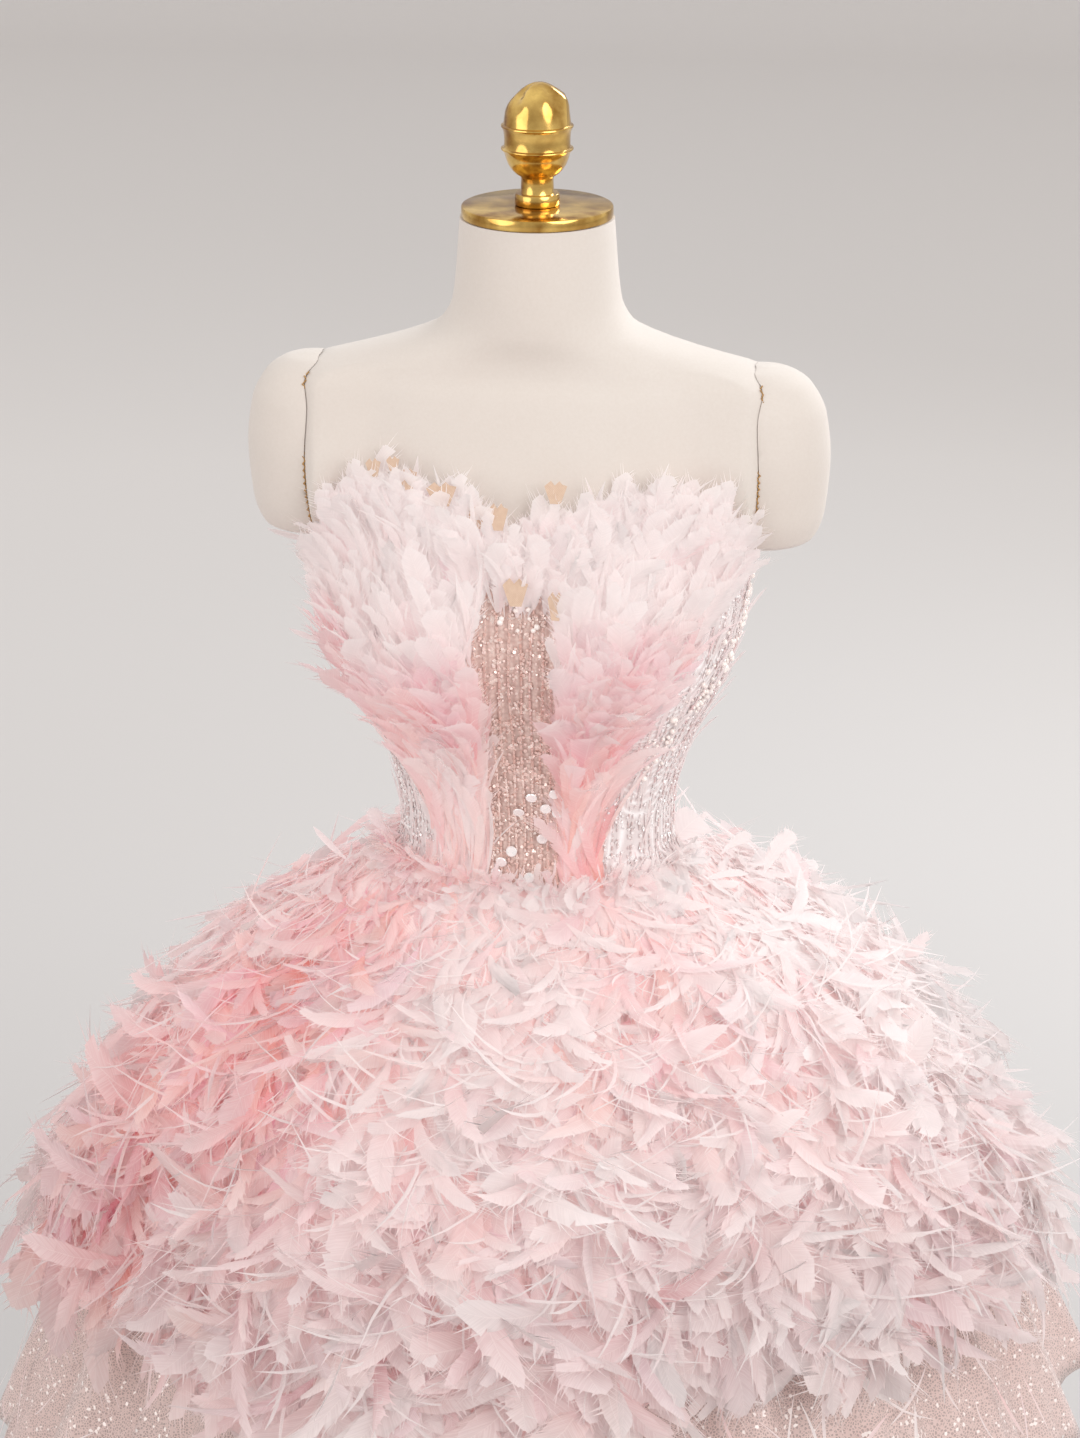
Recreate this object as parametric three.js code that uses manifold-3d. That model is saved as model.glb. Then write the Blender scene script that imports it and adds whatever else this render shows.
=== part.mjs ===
// Strapless feather cocktail dress on a limbless dress form, standing on its own base.
// Millimetres, +Z up. The origin is on the floor under the pole. The front faces -Y.
// Angles run round the body from the front (0 degrees) towards +X (90 degrees).

import * as THREE from 'three';
import { mergeVertices } from 'three/addons/utils/BufferGeometryUtils.js';
import Module from 'manifold-3d';

const wasm = await Module();
wasm.setup();

const TURN = 2 * Math.PI;
const rad = (degrees) => (degrees * Math.PI) / 180;

// ---- Driving sizes ----
const WAIST_Z = 1050; // natural waist above the floor
const SEAM = 0.3; // gap between neighbouring pieces
const BODY_CLEAR = 1.2; // bodice lining face to canvas
const GATHER_CLEAR = 0.8; // gathered top of a tulle skirt to canvas
const CLOTH = 2.0; // bodice and overskirt wall
const TULLE = 1.3; // tulle wall
const TRIM = 2.0; // backing strip and feather root
const BODY_COLUMNS = 40; // one column each 9 degrees

// Body of the form: half width at the sides, depth to the front and to the back, and how far
// the two bust cups swell, by height above the waist.
const BODY = [
  { up: -232, half: 142, front: 96, back: 106, cup: 0 },
  { up: -205, half: 163, front: 110, back: 122, cup: 0 },
  { up: -140, half: 170, front: 116, back: 128, cup: 0 },
  { up: -62, half: 140, front: 101, back: 107, cup: 0 },
  { up: -40, half: 126, front: 94, back: 98, cup: 0 },
  { up: -22, half: 115, front: 89, back: 91, cup: 0 },
  { up: -4, half: 109, front: 86, back: 87, cup: 0 },
  { up: 20, half: 109, front: 85, back: 86, cup: 0 },
  { up: 50, half: 114, front: 88, back: 89, cup: 0.02 },
  { up: 86, half: 126, front: 95, back: 94, cup: 0.22 },
  { up: 112, half: 138, front: 101, back: 97, cup: 0.55 },
  { up: 138, half: 150, front: 105, back: 99, cup: 0.85 },
  { up: 162, half: 158, front: 107, back: 99, cup: 1 },
  { up: 185, half: 163, front: 107, back: 99, cup: 0.96 },
  { up: 212, half: 167, front: 105, back: 98, cup: 0.7 },
  { up: 252, half: 174, front: 100, back: 95, cup: 0.25 },
  { up: 290, half: 181, front: 91, back: 90, cup: 0.04 },
  { up: 335, half: 186, front: 75, back: 78, cup: 0 },
  { up: 374, half: 186, front: 61, back: 64, cup: 0 },
  { up: 390, half: 174, front: 54, back: 57, cup: 0 },
  { up: 401, half: 136, front: 54, back: 57, cup: 0 },
  { up: 411, half: 101, front: 57, back: 60, cup: 0 },
  { up: 422, half: 77, front: 60, back: 62, cup: 0 },
  { up: 442, half: 66, front: 61, back: 61, cup: 0 },
  { up: 505, half: 60, front: 58, back: 58, cup: 0 },
];
const CUP = { height: 27, across: 74, spread: 50 };

// Bodice: seams between its panels, and the height of its top edge round the body.
const BODICE_BOTTOM = -22;
const HIGHEST_LEVEL = 290; // the last level of the body that the bodice follows
const TOP_ROWS = 3; // spacing of the squeezed levels under the top edge
const PANELS = [
  { name: 'bodice_front_centre', from: -15, to: 15 },
  { name: 'bodice_front_right', from: 15, to: 60 },
  { name: 'bodice_side_right', from: 60, to: 105 },
  { name: 'bodice_back_right', from: 105, to: 177 },
  { name: 'back_zip', from: 177, to: 183 },
  { name: 'bodice_back_left', from: 183, to: 255 },
  { name: 'bodice_side_left', from: 255, to: 300 },
  { name: 'bodice_front_left', from: 300, to: 345 },
];
const TOP_EDGE = [
  { angle: 0, up: 276 },
  { angle: 14, up: 290 },
  { angle: 34, up: 308 },
  { angle: 47, up: 296 },
  { angle: 60, up: 262 },
  { angle: 75, up: 238 },
  { angle: 90, up: 226 },
  { angle: 130, up: 186 },
  { angle: 180, up: 170 },
];

// The ring of cloth drawn in round the body at one drop below the waist.
function gatheredOn(drop) {
  const round = (column) => at(BODY, 'up', -drop, column) + GATHER_CLEAR;
  return { half: round('half'), depth: Math.max(round('front'), round('back')) };
}

// Skirt layers by drop below the waist: half width and depth of the inner face, lobe share.
const OVERSKIRT = [
  { drop: 22.8, half: 117.7, depth: 93.3, lobe: 0 },
  { drop: 34, half: 134, depth: 113, lobe: 0 },
  { drop: 50, half: 163, depth: 146, lobe: 0.01 },
  { drop: 75, half: 209, depth: 196, lobe: 0.03 },
  { drop: 105, half: 250, depth: 241, lobe: 0.05 },
  { drop: 150, half: 296, depth: 292, lobe: 0.07 },
  { drop: 200, half: 337, depth: 335, lobe: 0.085 },
  { drop: 262, half: 380, depth: 380, lobe: 0.1 },
  { drop: 322, half: 410, depth: 410, lobe: 0.1 },
];
const OUTER_TULLE = [
  { drop: 40, ...gatheredOn(40), lobe: 0, gather: 0 },
  { drop: 130, half: 248, depth: 240, lobe: 0.05, gather: 6 },
  { drop: 300, half: 368, depth: 366, lobe: 0.085, gather: 10 },
  { drop: 500, half: 462, depth: 462, lobe: 0.04, gather: 15 },
];
const INNER_TULLE = [
  { drop: 62, ...gatheredOn(62), lobe: 0, gather: 0 },
  { drop: 110, half: 196, depth: 186, lobe: 0.02, gather: 5 },
  { drop: 280, half: 324, depth: 322, lobe: 0.06, gather: 9 },
  { drop: 480, half: 412, depth: 412, lobe: 0.03, gather: 13 },
];
const OUTER_WAVES = 24;
const INNER_WAVES = 12;
const GORES = 6; // widths of tulle sewn into each skirt
const OVERSKIRT_ROWS = 8;
const OVERSKIRT_COLUMNS = 8; // in each of the five panels
const VALLEYS = [-50, 26, 104, 172, 240]; // where the skirt dips between two lobes
const OVERSKIRT_NAMES = ['front', 'right', 'back_right', 'back_left', 'left'];
const SCALLOP = 26; // how much lower the hem hangs under a lobe
const SIDE_LIFT = 42; // the right side of the skirt rides higher by this much at the hem
const LIFT_FROM = 62; // drop at which the scallops and the side lift begin

// Feather rows round the skirt: distance of the backing strip down the overskirt, locks, their
// length, how steeply they stand off the cloth, and the strip's gap to it.
const SKIRT_ROWS = [
  { along: 14, locks: 14, length: 116, slope: 0.24, clear: 1.6 },
  { along: 92, locks: 22, length: 116, slope: 0.26, clear: 0.9 },
  { along: 172, locks: 27, length: 118, slope: 0.28, clear: 0.5 },
  { along: 250, locks: 32, length: 120, slope: 0.31, clear: 0.4 },
  { along: 326, locks: 36, length: 124, slope: 0.34, clear: 1.1 },
];
const STRIP = 12; // height of a backing strip

// Feather rows up each side of the bodice front: height, angles of its ends, locks, their
// length, and the strip's gap to the panel under it.
const BODICE_ROWS = [
  { up: -8, from: 18, to: 44, locks: 3, length: 78, clear: 1.1 },
  { up: 40, from: 18, to: 50, locks: 4, length: 84, clear: 1.1 },
  { up: 88, from: 18, to: 56, locks: 5, length: 86, clear: 1.1 },
  { up: 140, from: 18, to: 88, locks: 8, length: 80, clear: 1.0 },
  { up: 194, from: 17, to: 60, locks: 6, length: 84, clear: 0.8 },
];
const NECKLINE = { below: 34, from: -57, to: 57, locks: 24, length: 68, clear: 1.1 };
const BODICE_SLOPE = 0.26;
const ROOT_LIFT = 2.4; // bodice locks bend out by this much as they leave their strip
const LONG_STATIONS = [
  { along: 0.36, width: 1, thick: 1 },
  { along: 0.78, width: 0.82, thick: 0.8 },
];
const SHORT_STATIONS = [{ along: 0.55, width: 1, thick: 0.8 }];

const SHOULDER_CAP = [
  { up: 246, out: 28, deep: 24 },
  { up: 255, out: 43, deep: 39 },
  { up: 278, out: 51, deep: 48 },
  { up: 320, out: 54, deep: 51 },
  { up: 354, out: 50, deep: 47 },
  { up: 378, out: 38, deep: 36 },
  { up: 392, out: 18, deep: 18 },
];
const CAP_AXIS = 178; // half the distance between the two shoulder seams at the armpit

const PLATE = { radius: 59, thick: 9 };
const POLE = { radius: 15 };
const BASE = { radius: 175, thick: 14, collar: 34, collarHeight: 22 };
const FORM_BOTTOM = WAIST_Z + BODY[0].up;
const PLATE_Z = WAIST_Z + 505 + SEAM;

// ---- Small helpers ----

// Smooth value of one named column of a table at one value of its key column.
function at(table, key, where, column) {
  const last = table.length - 1;
  const x = Math.min(Math.max(where, table[0][key]), table[last][key]);
  let i = 0;
  while (i < last - 1 && table[i + 1][key] < x) i += 1;
  const slope = (k) => {
    if (k <= 0 || k >= last) return null;
    const before = (table[k][column] - table[k - 1][column]) / (table[k][key] - table[k - 1][key]);
    const after = (table[k + 1][column] - table[k][column]) / (table[k + 1][key] - table[k][key]);
    return before * after <= 0 ? 0 : (2 * before * after) / (before + after);
  };
  const step = table[i + 1][key] - table[i][key];
  const chord = (table[i + 1][column] - table[i][column]) / step;
  const start = slope(i) ?? chord;
  const end = slope(i + 1) ?? chord;
  const t = (x - table[i][key]) / step;
  const rise = table[i + 1][column] - table[i][column];
  const bend = t * (1 - t) * step * ((1 - t) * (start - chord) + t * (chord - end));
  return table[i][column] + rise * t + bend;
}

// The same uneven number from 0 to 1 for the same lock every time.
function uneven(k) {
  const wave = Math.sin(k * 12.9898 + 4.1) * 43758.5453;
  return wave - Math.floor(wave);
}

function normalOf(surface, a, b, stepA, stepB) {
  const across = surface(a + stepA, b).sub(surface(a - stepA, b));
  const along = surface(a, b + stepB).sub(surface(a, b - stepB));
  return across.cross(along).normalize();
}

// ---- Surfaces ----

function bodyPoint(angle, up) {
  const side = Math.sin(angle);
  const ahead = Math.cos(angle);
  const half = at(BODY, 'up', up, 'half');
  const depth = at(BODY, 'up', up, ahead > 0 ? 'front' : 'back');
  const x = half * side;
  const away = (Math.abs(x) - CUP.across) / CUP.spread;
  const cup = CUP.height * at(BODY, 'up', up, 'cup') * Math.exp(-away * away);
  const y = -depth * ahead - (ahead > 0 ? cup * Math.sqrt(ahead) : 0);
  return new THREE.Vector3(x, y, WAIST_Z + up);
}

function offBody(angle, up, off) {
  const out = normalOf(bodyPoint, angle, up, 0.02, 2);
  return bodyPoint(angle, up).addScaledVector(out, off);
}

function topEdge(angle) {
  const wrapped = Math.abs(((((angle / TURN) * 360) % 360) + 540) % 360 - 180);
  return at(TOP_EDGE, 'angle', wrapped, 'up');
}

// 0 in a valley of the skirt, 1 on the crest of a lobe.
function lobeShape(angle) {
  const degrees = (((angle / TURN) * 360 + 50) % 360 + 360) % 360 - 50;
  let i = VALLEYS.length - 1;
  while (degrees < VALLEYS[i]) i -= 1;
  const next = i + 1 < VALLEYS.length ? VALLEYS[i + 1] : VALLEYS[0] + 360;
  return Math.sin((Math.PI * (degrees - VALLEYS[i])) / (next - VALLEYS[i])) ** 0.75;
}

const HEM_DROP = OVERSKIRT[OVERSKIRT.length - 1].drop;

// A point of a skirt layer. swell moves it straight out from the axis.
function skirtPoint(table, angle, drop, swell = 0) {
  const lobe = lobeShape(angle);
  const grow = 1 + at(table, 'drop', drop, 'lobe') * (lobe * 1.5 - 1);
  const share = Math.min(Math.max(drop - LIFT_FROM, 0) / (HEM_DROP - LIFT_FROM), 1.2);
  const x = (at(table, 'drop', drop, 'half') * grow + swell) * Math.sin(angle);
  const y = -(at(table, 'drop', drop, 'depth') * grow + swell) * Math.cos(angle);
  const lift = SIDE_LIFT * Math.sin(angle) * share ** 2 - SCALLOP * lobe * share ** 2;
  return new THREE.Vector3(x, y, WAIST_Z - drop + lift);
}

// Distance down the overskirt turned into its drop, carried on past the hem.
const OVERSKIRT_PATH = [];
for (let drop = OVERSKIRT[0].drop, length = 0; drop <= HEM_DROP; drop += 1) {
  const here = { drop, half: at(OVERSKIRT, 'drop', drop, 'half') };
  const before = OVERSKIRT_PATH.at(-1);
  if (before) length += Math.hypot(1, here.half - before.half);
  OVERSKIRT_PATH.push({ length, drop, half: here.half });
}

function overskirtPoint(angle, along) {
  const last = OVERSKIRT_PATH.at(-1);
  if (along <= last.length) {
    let i = OVERSKIRT_PATH.findIndex((row) => row.length >= along);
    i = Math.max(i, 1);
    const [a, b] = [OVERSKIRT_PATH[i - 1], OVERSKIRT_PATH[i]];
    const drop = a.drop + ((along - a.length) / (b.length - a.length)) * (b.drop - a.drop);
    return skirtPoint(OVERSKIRT, angle, drop);
  }
  const hem = skirtPoint(OVERSKIRT, angle, last.drop);
  const above = skirtPoint(OVERSKIRT, angle, last.drop - 12);
  const down = hem.clone().sub(above).normalize();
  return hem.addScaledVector(down, along - last.length);
}

function offOverskirt(angle, along, off) {
  const out = normalOf(overskirtPoint, angle, along, 0.02, 3).negate();
  return overskirtPoint(angle, along).addScaledVector(out, off);
}

// ---- Meshes ----

function geometryOf(points, triangles) {
  const geometry = new THREE.BufferGeometry();
  const numbers = points.flatMap((p) => [p.x, p.y, p.z]);
  geometry.setAttribute('position', new THREE.Float32BufferAttribute(numbers, 3));
  geometry.setIndex(triangles.flat());
  return geometry;
}

function flipIfInsideOut(points, triangles) {
  let volume = 0;
  for (const [a, b, c] of triangles) volume += points[a].dot(points[b].clone().cross(points[c]));
  return volume < 0 ? triangles.map(([a, b, c]) => [a, c, b]) : triangles;
}

function quad(a, b, c, d) {
  return [
    [a, b, c],
    [a, c, d],
  ];
}

// A wall between two grids of points, open-ended or closed into a tube.
function wall(columns, rows, closed, inner, outer) {
  const points = [];
  for (const face of [inner, outer]) {
    for (let i = 0; i < columns; i += 1) {
      for (let j = 0; j < rows; j += 1) points.push(face(i, j));
    }
  }
  const id = (side, i, j) => side * columns * rows + (i % columns) * rows + j;
  const triangles = [];
  const spans = closed ? columns : columns - 1;
  for (let i = 0; i < spans; i += 1) {
    for (let j = 0; j < rows - 1; j += 1) {
      triangles.push(...quad(id(0, i, j), id(0, i, j + 1), id(0, i + 1, j + 1), id(0, i + 1, j)));
      triangles.push(...quad(id(1, i, j), id(1, i + 1, j), id(1, i + 1, j + 1), id(1, i, j + 1)));
    }
    for (const j of [0, rows - 1]) {
      const edge = quad(id(0, i, j), id(0, i + 1, j), id(1, i + 1, j), id(1, i, j));
      triangles.push(...(j === 0 ? edge : edge.map(([a, b, c]) => [a, c, b])));
    }
  }
  if (!closed) {
    for (let j = 0; j < rows - 1; j += 1) {
      for (const i of [0, columns - 1]) {
        const edge = quad(id(0, i, j), id(1, i, j), id(1, i, j + 1), id(0, i, j + 1));
        triangles.push(...(i === 0 ? edge : edge.map(([a, b, c]) => [a, c, b])));
      }
    }
  }
  return geometryOf(points, flipIfInsideOut(points, triangles));
}

// A solid through closed rings of points, with a flat cap at each end.
function ringSolid(rings) {
  const count = rings[0].length;
  const points = rings.flat();
  const triangles = [];
  for (let r = 0; r < rings.length - 1; r += 1) {
    for (let i = 0; i < count; i += 1) {
      const next = (i + 1) % count;
      const [low, high] = [r * count, (r + 1) * count];
      triangles.push(...quad(low + i, low + next, high + next, high + i));
    }
  }
  for (const [start, up] of [
    [0, false],
    [(rings.length - 1) * count, true],
  ]) {
    for (let i = 1; i < count - 1; i += 1) {
      triangles.push(up ? [start, start + i, start + i + 1] : [start, start + i + 1, start + i]);
    }
  }
  return geometryOf(points, flipIfInsideOut(points, triangles));
}

function solidOf(geometry) {
  const merged = mergeVertices(geometry, 1e-4);
  return new wasm.Manifold(
    new wasm.Mesh({
      numProp: 3,
      vertProperties: new Float32Array(merged.attributes.position.array),
      triVerts: new Uint32Array(merged.index.array),
    }),
  );
}

function geometryFrom(solid) {
  const mesh = solid.getMesh();
  const geometry = new THREE.BufferGeometry();
  geometry.setAttribute('position', new THREE.BufferAttribute(mesh.vertProperties, 3));
  geometry.setIndex(new THREE.BufferAttribute(mesh.triVerts, 1));
  return geometry;
}

// A turned piece: pairs of radius and height, from the axis back to the axis.
function turned(profile, z, segments) {
  const points = profile.map(([r, h]) => new THREE.Vector2(r, h));
  const geometry = new THREE.LatheGeometry(points, segments);
  geometry.rotateX(Math.PI / 2);
  geometry.translate(0, 0, z);
  geometry.deleteAttribute('normal');
  geometry.deleteAttribute('uv');
  return mergeVertices(geometry, 1e-4);
}

// ---- Pieces of the form and its stand ----

function torsoGeometry(grow) {
  const rings = BODY.map((row) =>
    Array.from({ length: BODY_COLUMNS }, (_, i) => {
      const angle = (i / BODY_COLUMNS) * TURN;
      return grow ? offBody(angle, row.up, grow) : bodyPoint(angle, row.up);
    }),
  );
  return ringSolid(rings);
}

function shoulderCap(side, torsoCutter) {
  const segments = 14;
  const rings = SHOULDER_CAP.map((row) =>
    Array.from({ length: segments }, (_, i) => {
      const angle = (i / segments) * TURN;
      const x = side * (CAP_AXIS + row.out * Math.cos(angle));
      return new THREE.Vector3(x, row.deep * Math.sin(angle), WAIST_Z + row.up);
    }),
  );
  return geometryFrom(solidOf(ringSolid(rings)).subtract(torsoCutter));
}

const plateGeometry = () =>
  turned(
    [
      [0, 0],
      [PLATE.radius - 1, 0],
      [PLATE.radius, 1],
      [PLATE.radius, PLATE.thick - 1],
      [PLATE.radius - 1, PLATE.thick],
      [0, PLATE.thick],
    ],
    PLATE_Z,
    24,
  );

const finialGeometry = () =>
  turned(
    [
      [0, 0],
      [17, 0],
      [17, 3],
      [15, 9],
      [11, 13],
      [10, 20],
      [12, 24],
      [18, 30],
      [24, 38],
      [27.5, 45],
      [25, 47],
      [26, 54],
      [27.5, 61],
      [24.5, 63.5],
      [24, 70],
      [20, 79],
      [13, 87],
      [6, 92],
      [0, 94.5],
    ],
    PLATE_Z + PLATE.thick + SEAM,
    15,
  );

const poleGeometry = () =>
  turned(
    [
      [0, 0],
      [POLE.radius, 0],
      [POLE.radius, FORM_BOTTOM - BASE.thick - 2 * SEAM],
      [0, FORM_BOTTOM - BASE.thick - 2 * SEAM],
    ],
    BASE.thick + SEAM,
    24,
  );

// The plate carries a collar round the foot of the pole.
const baseGeometry = () =>
  turned(
    [
      [0, 0],
      [BASE.radius, 0],
      [BASE.radius, BASE.thick - 6],
      [BASE.radius - 8, BASE.thick],
      [BASE.collar, BASE.thick],
      [BASE.collar - 8, BASE.thick + BASE.collarHeight],
      [POLE.radius + 2 * SEAM, BASE.thick + BASE.collarHeight],
      [POLE.radius + 2 * SEAM, BASE.thick],
      [0, BASE.thick],
    ],
    0,
    32,
  );

// ---- Cloth ----

// One bodice panel. Its columns and levels fall on those of the body, so both have the same
// facets, and the levels that would stand above the top edge are squeezed in just under it.
function bodicePanel(panel) {
  const pitch = 360 / BODY_COLUMNS;
  const inset = (SEAM / 2 / 105) * (360 / TURN);
  const angles = [panel.from + inset];
  for (let a = Math.ceil((panel.from + 0.5) / pitch) * pitch; a < panel.to - 0.5; a += pitch) {
    angles.push(a);
  }
  angles.push(panel.to - inset);
  const levels = BODY.map((row) => row.up).filter((up) => up >= BODICE_BOTTOM && up <= HIGHEST_LEVEL);
  const point = (off) => (i, j) => {
    const angle = rad(angles[i]);
    const top = topEdge(angle);
    const highest = top - (levels.length - j) * TOP_ROWS;
    return offBody(angle, j < levels.length ? Math.min(levels[j], highest) : top, off);
  };
  const rows = levels.length + 1;
  return wall(angles.length, rows, false, point(BODY_CLEAR), point(BODY_CLEAR + CLOTH));
}

function overskirtPanel(k) {
  const start = VALLEYS[k];
  const end = k + 1 < VALLEYS.length ? VALLEYS[k + 1] : VALLEYS[0] + 360;
  const columns = OVERSKIRT_COLUMNS + 1;
  const path = OVERSKIRT_PATH.at(-1).length;
  const point = (off) => (i, j) => {
    const share = (1 - Math.cos((Math.PI * i) / (columns - 1))) / 2;
    const even = i / (columns - 1);
    const angle = rad(start + (end - start) * (0.5 * share + 0.5 * even));
    const along = path * (j / (OVERSKIRT_ROWS - 1)) ** 1.8;
    const place = offOverskirt(angle, along, off);
    const inset = i === 0 ? 1 : i === columns - 1 ? -1 : 0;
    const aside = new THREE.Vector3(Math.cos(angle), Math.sin(angle), 0);
    return place.addScaledVector(aside, inset * SEAM * 0.6);
  };
  return wall(columns, OVERSKIRT_ROWS, false, point(0), point(CLOTH));
}

// One width of a gathered skirt: four columns to a wave, waves of uneven width and depth.
function tulleGore(table, waves, gore) {
  const columns = waves * 4;
  const each = columns / GORES;
  const angleOf = (i) => {
    const even = (i / columns) * TURN;
    return even + 0.03 * Math.sin(3 * even) + 0.012 * Math.sin(7 * even + 1);
  };
  const point = (off) => (step, j) => {
    const i = gore * each + step;
    const row = table[j];
    const depth = row.gather * (0.7 + 0.6 * uneven(Math.floor((i % columns) / 4)));
    const wave = [1, 0, -1, 0][i % 4] * (step === 0 || step === each ? 0.6 * row.gather : depth);
    const angle = angleOf(i);
    const inset = step === 0 ? 1 : step === each ? -1 : 0;
    const aside = new THREE.Vector3(Math.cos(angle), Math.sin(angle), 0);
    return skirtPoint(table, angle, row.drop, wave + off).addScaledVector(aside, inset * SEAM * 0.6);
  };
  return wall(each + 1, table.length, false, point(0), point(TULLE));
}

// ---- Feather rows ----

// A strip with locks that grow out of one of its edges. place(across, along, off) gives a point:
// across counts places round the strip, along runs from the strip towards the lock's tip.
function featherRow(locks, closed, place, strip, row) {
  const points = [];
  const triangles = [];
  const add = (p) => points.push(p) - 1;
  const rootShare = 0.56;
  const posts = [];
  const postCount = locks * 2 + (closed ? 0 : 1);
  for (let k = 0; k < postCount; k += 1) {
    const lock = Math.floor(k / 2);
    const across = lock + (k % 2 ? rootShare : 0) + (1 - rootShare) / 2;
    const end = !closed && k === postCount - 1;
    const where = end ? across - (1 - rootShare) / 2 : across;
    posts.push([
      add(place(where, 0, 0)),
      add(place(where, 0, TRIM)),
      add(place(where, strip, TRIM)),
      add(place(where, strip, 0)),
    ]);
  }
  const spans = closed ? postCount : postCount - 1;
  for (let k = 0; k < spans; k += 1) {
    const [a, b] = [posts[k], posts[(k + 1) % postCount]];
    triangles.push(...quad(a[0], b[0], b[1], a[1]));
    triangles.push(...quad(a[1], b[1], b[2], a[2]));
    triangles.push(...quad(a[3], b[3], b[0], a[0]));
    if (k % 2) {
      triangles.push(...quad(a[2], b[2], b[3], a[3]));
      continue;
    }
    const lock = k / 2;
    const middle = lock + 0.5;
    const luck = uneven(lock * 3 + row.seed);
    const length = row.length * (0.88 + 0.16 * luck);
    let ring = [a[2], b[2], b[3], a[3]];
    for (const station of row.stations) {
      const u = strip + length * station.along;
      const wide = (row.fill * station.width) / 2;
      const lean = row.lean(middle, luck) * station.along;
      const thick = TRIM * station.thick;
      const [left, right] = [middle + lean - wide, middle + lean + wide];
      const next = [
        add(place(left, u, thick)),
        add(place(right, u, thick)),
        add(place(right, u, 0)),
        add(place(left, u, 0)),
      ];
      for (let s = 0; s < 4; s += 1) {
        const t = (s + 1) % 4;
        triangles.push(...quad(ring[s], ring[t], next[t], next[s]));
      }
      ring = next;
    }
    const tip = add(place(middle + row.lean(middle, luck), strip + length, TRIM * 0.3));
    for (let s = 0; s < 4; s += 1) triangles.push([ring[s], ring[(s + 1) % 4], tip]);
  }
  if (!closed) {
    triangles.push(...quad(posts[0][0], posts[0][1], posts[0][2], posts[0][3]));
    const end = posts.at(-1);
    triangles.push(...quad(end[3], end[2], end[1], end[0]));
  }
  return geometryOf(points, flipIfInsideOut(points, triangles));
}

function skirtFeathers(row, number) {
  const off = CLOTH + row.clear;
  const phase = 0.37 * number;
  const place = (across, along, thick) => {
    const angle = ((across + phase) / row.locks) * TURN;
    const past = Math.max(along - STRIP, 0);
    const lift = row.slope * past * (1 + past / 500);
    return offOverskirt(angle, row.along + along, off + lift + thick);
  };
  const shape = {
    stations: LONG_STATIONS,
    length: row.length,
    fill: 0.74,
    seed: 100 * number,
    lean: (middle, luck) => (luck - 0.5) * 0.16,
  };
  return featherRow(row.locks, true, place, STRIP, shape);
}

// side is 1 on the right half of the front and -1 on the left.
function bodiceFeathers(row, number, side) {
  const off = BODY_CLEAR + CLOTH + row.clear;
  const place = (across, along, thick) => {
    const spread = row.from + ((row.to - row.from) * across) / row.locks;
    const past = Math.max(along - STRIP, 0);
    const fan = 1 + (0.22 * past) / row.length;
    const angle = rad(side * spread * fan);
    const lift = BODICE_SLOPE * past + ROOT_LIFT * Math.min(past / 10, 1);
    return offBody(angle, row.up + along, off + lift + thick);
  };
  const shape = {
    stations: LONG_STATIONS,
    length: row.length,
    fill: 0.72,
    seed: 700 + 40 * number + side,
    lean: (middle, luck) => (luck - 0.3) * 0.2,
  };
  return featherRow(row.locks, false, place, STRIP, shape);
}

function necklineFeathers() {
  const off = BODY_CLEAR + CLOTH + NECKLINE.clear;
  const place = (across, along, thick) => {
    const angle = rad(NECKLINE.from + ((NECKLINE.to - NECKLINE.from) * across) / NECKLINE.locks);
    const past = Math.max(along - STRIP, 0);
    return offBody(angle, topEdge(angle) - NECKLINE.below + along, off + BODICE_SLOPE * past + thick);
  };
  const shape = {
    stations: SHORT_STATIONS,
    length: NECKLINE.length,
    fill: 0.7,
    seed: 900,
    lean: (middle, luck) => (luck - 0.5) * 0.2,
  };
  return featherRow(NECKLINE.locks, false, place, STRIP, shape);
}

function zipSlider() {
  const up = topEdge(Math.PI) - 14;
  const back = bodyPoint(Math.PI, up);
  const box = new THREE.BoxGeometry(6, 2.4, 22);
  const y = back.y + BODY_CLEAR + CLOTH + 0.5 + 1.2;
  box.translate(0, y, WAIST_Z + up);
  box.deleteAttribute('normal');
  box.deleteAttribute('uv');
  return mergeVertices(box, 1e-4);
}

// ---- Materials ----
const finish = (color, roughness, metalness) => ({ color, roughness, metalness });
const CANVAS = finish(0xf1e8df, 0.85, 0);
const GOLD = finish(0xd9a441, 0.22, 1);
const TWILL = finish(0xdac2ac, 0.8, 0);
const SEQUINNED = finish(0xcfaea5, 0.5, 0.1);
const NET = finish(0xc7b2af, 0.75, 0);
const BLUSH = finish(0xf3cfd0, 0.8, 0);
const WHITE_FEATHER = finish(0xf6e9e8, 0.8, 0);
const PINK_FEATHER = finish(0xf0b9bd, 0.8, 0);

const part = new THREE.Group();

function piece(name, geometry, look) {
  const mesh = new THREE.Mesh(geometry, new THREE.MeshStandardMaterial(look));
  mesh.name = name;
  part.add(mesh);
}

// ---- Assembly ----
const torsoCutter = solidOf(torsoGeometry(SEAM + 0.1));
piece('form_torso', torsoGeometry(0), CANVAS);
piece('shoulder_cap_right', shoulderCap(1, torsoCutter), CANVAS);
piece('shoulder_cap_left', shoulderCap(-1, torsoCutter), CANVAS);
piece('neck_plate', plateGeometry(), GOLD);
piece('finial', finialGeometry(), GOLD);
piece('pole', poleGeometry(), GOLD);
piece('base', baseGeometry(), GOLD);

for (const panel of PANELS) {
  const look = panel.name === 'bodice_front_centre' ? SEQUINNED : TWILL;
  piece(panel.name, bodicePanel(panel), look);
}
piece('zip_slider', zipSlider(), GOLD);

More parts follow.
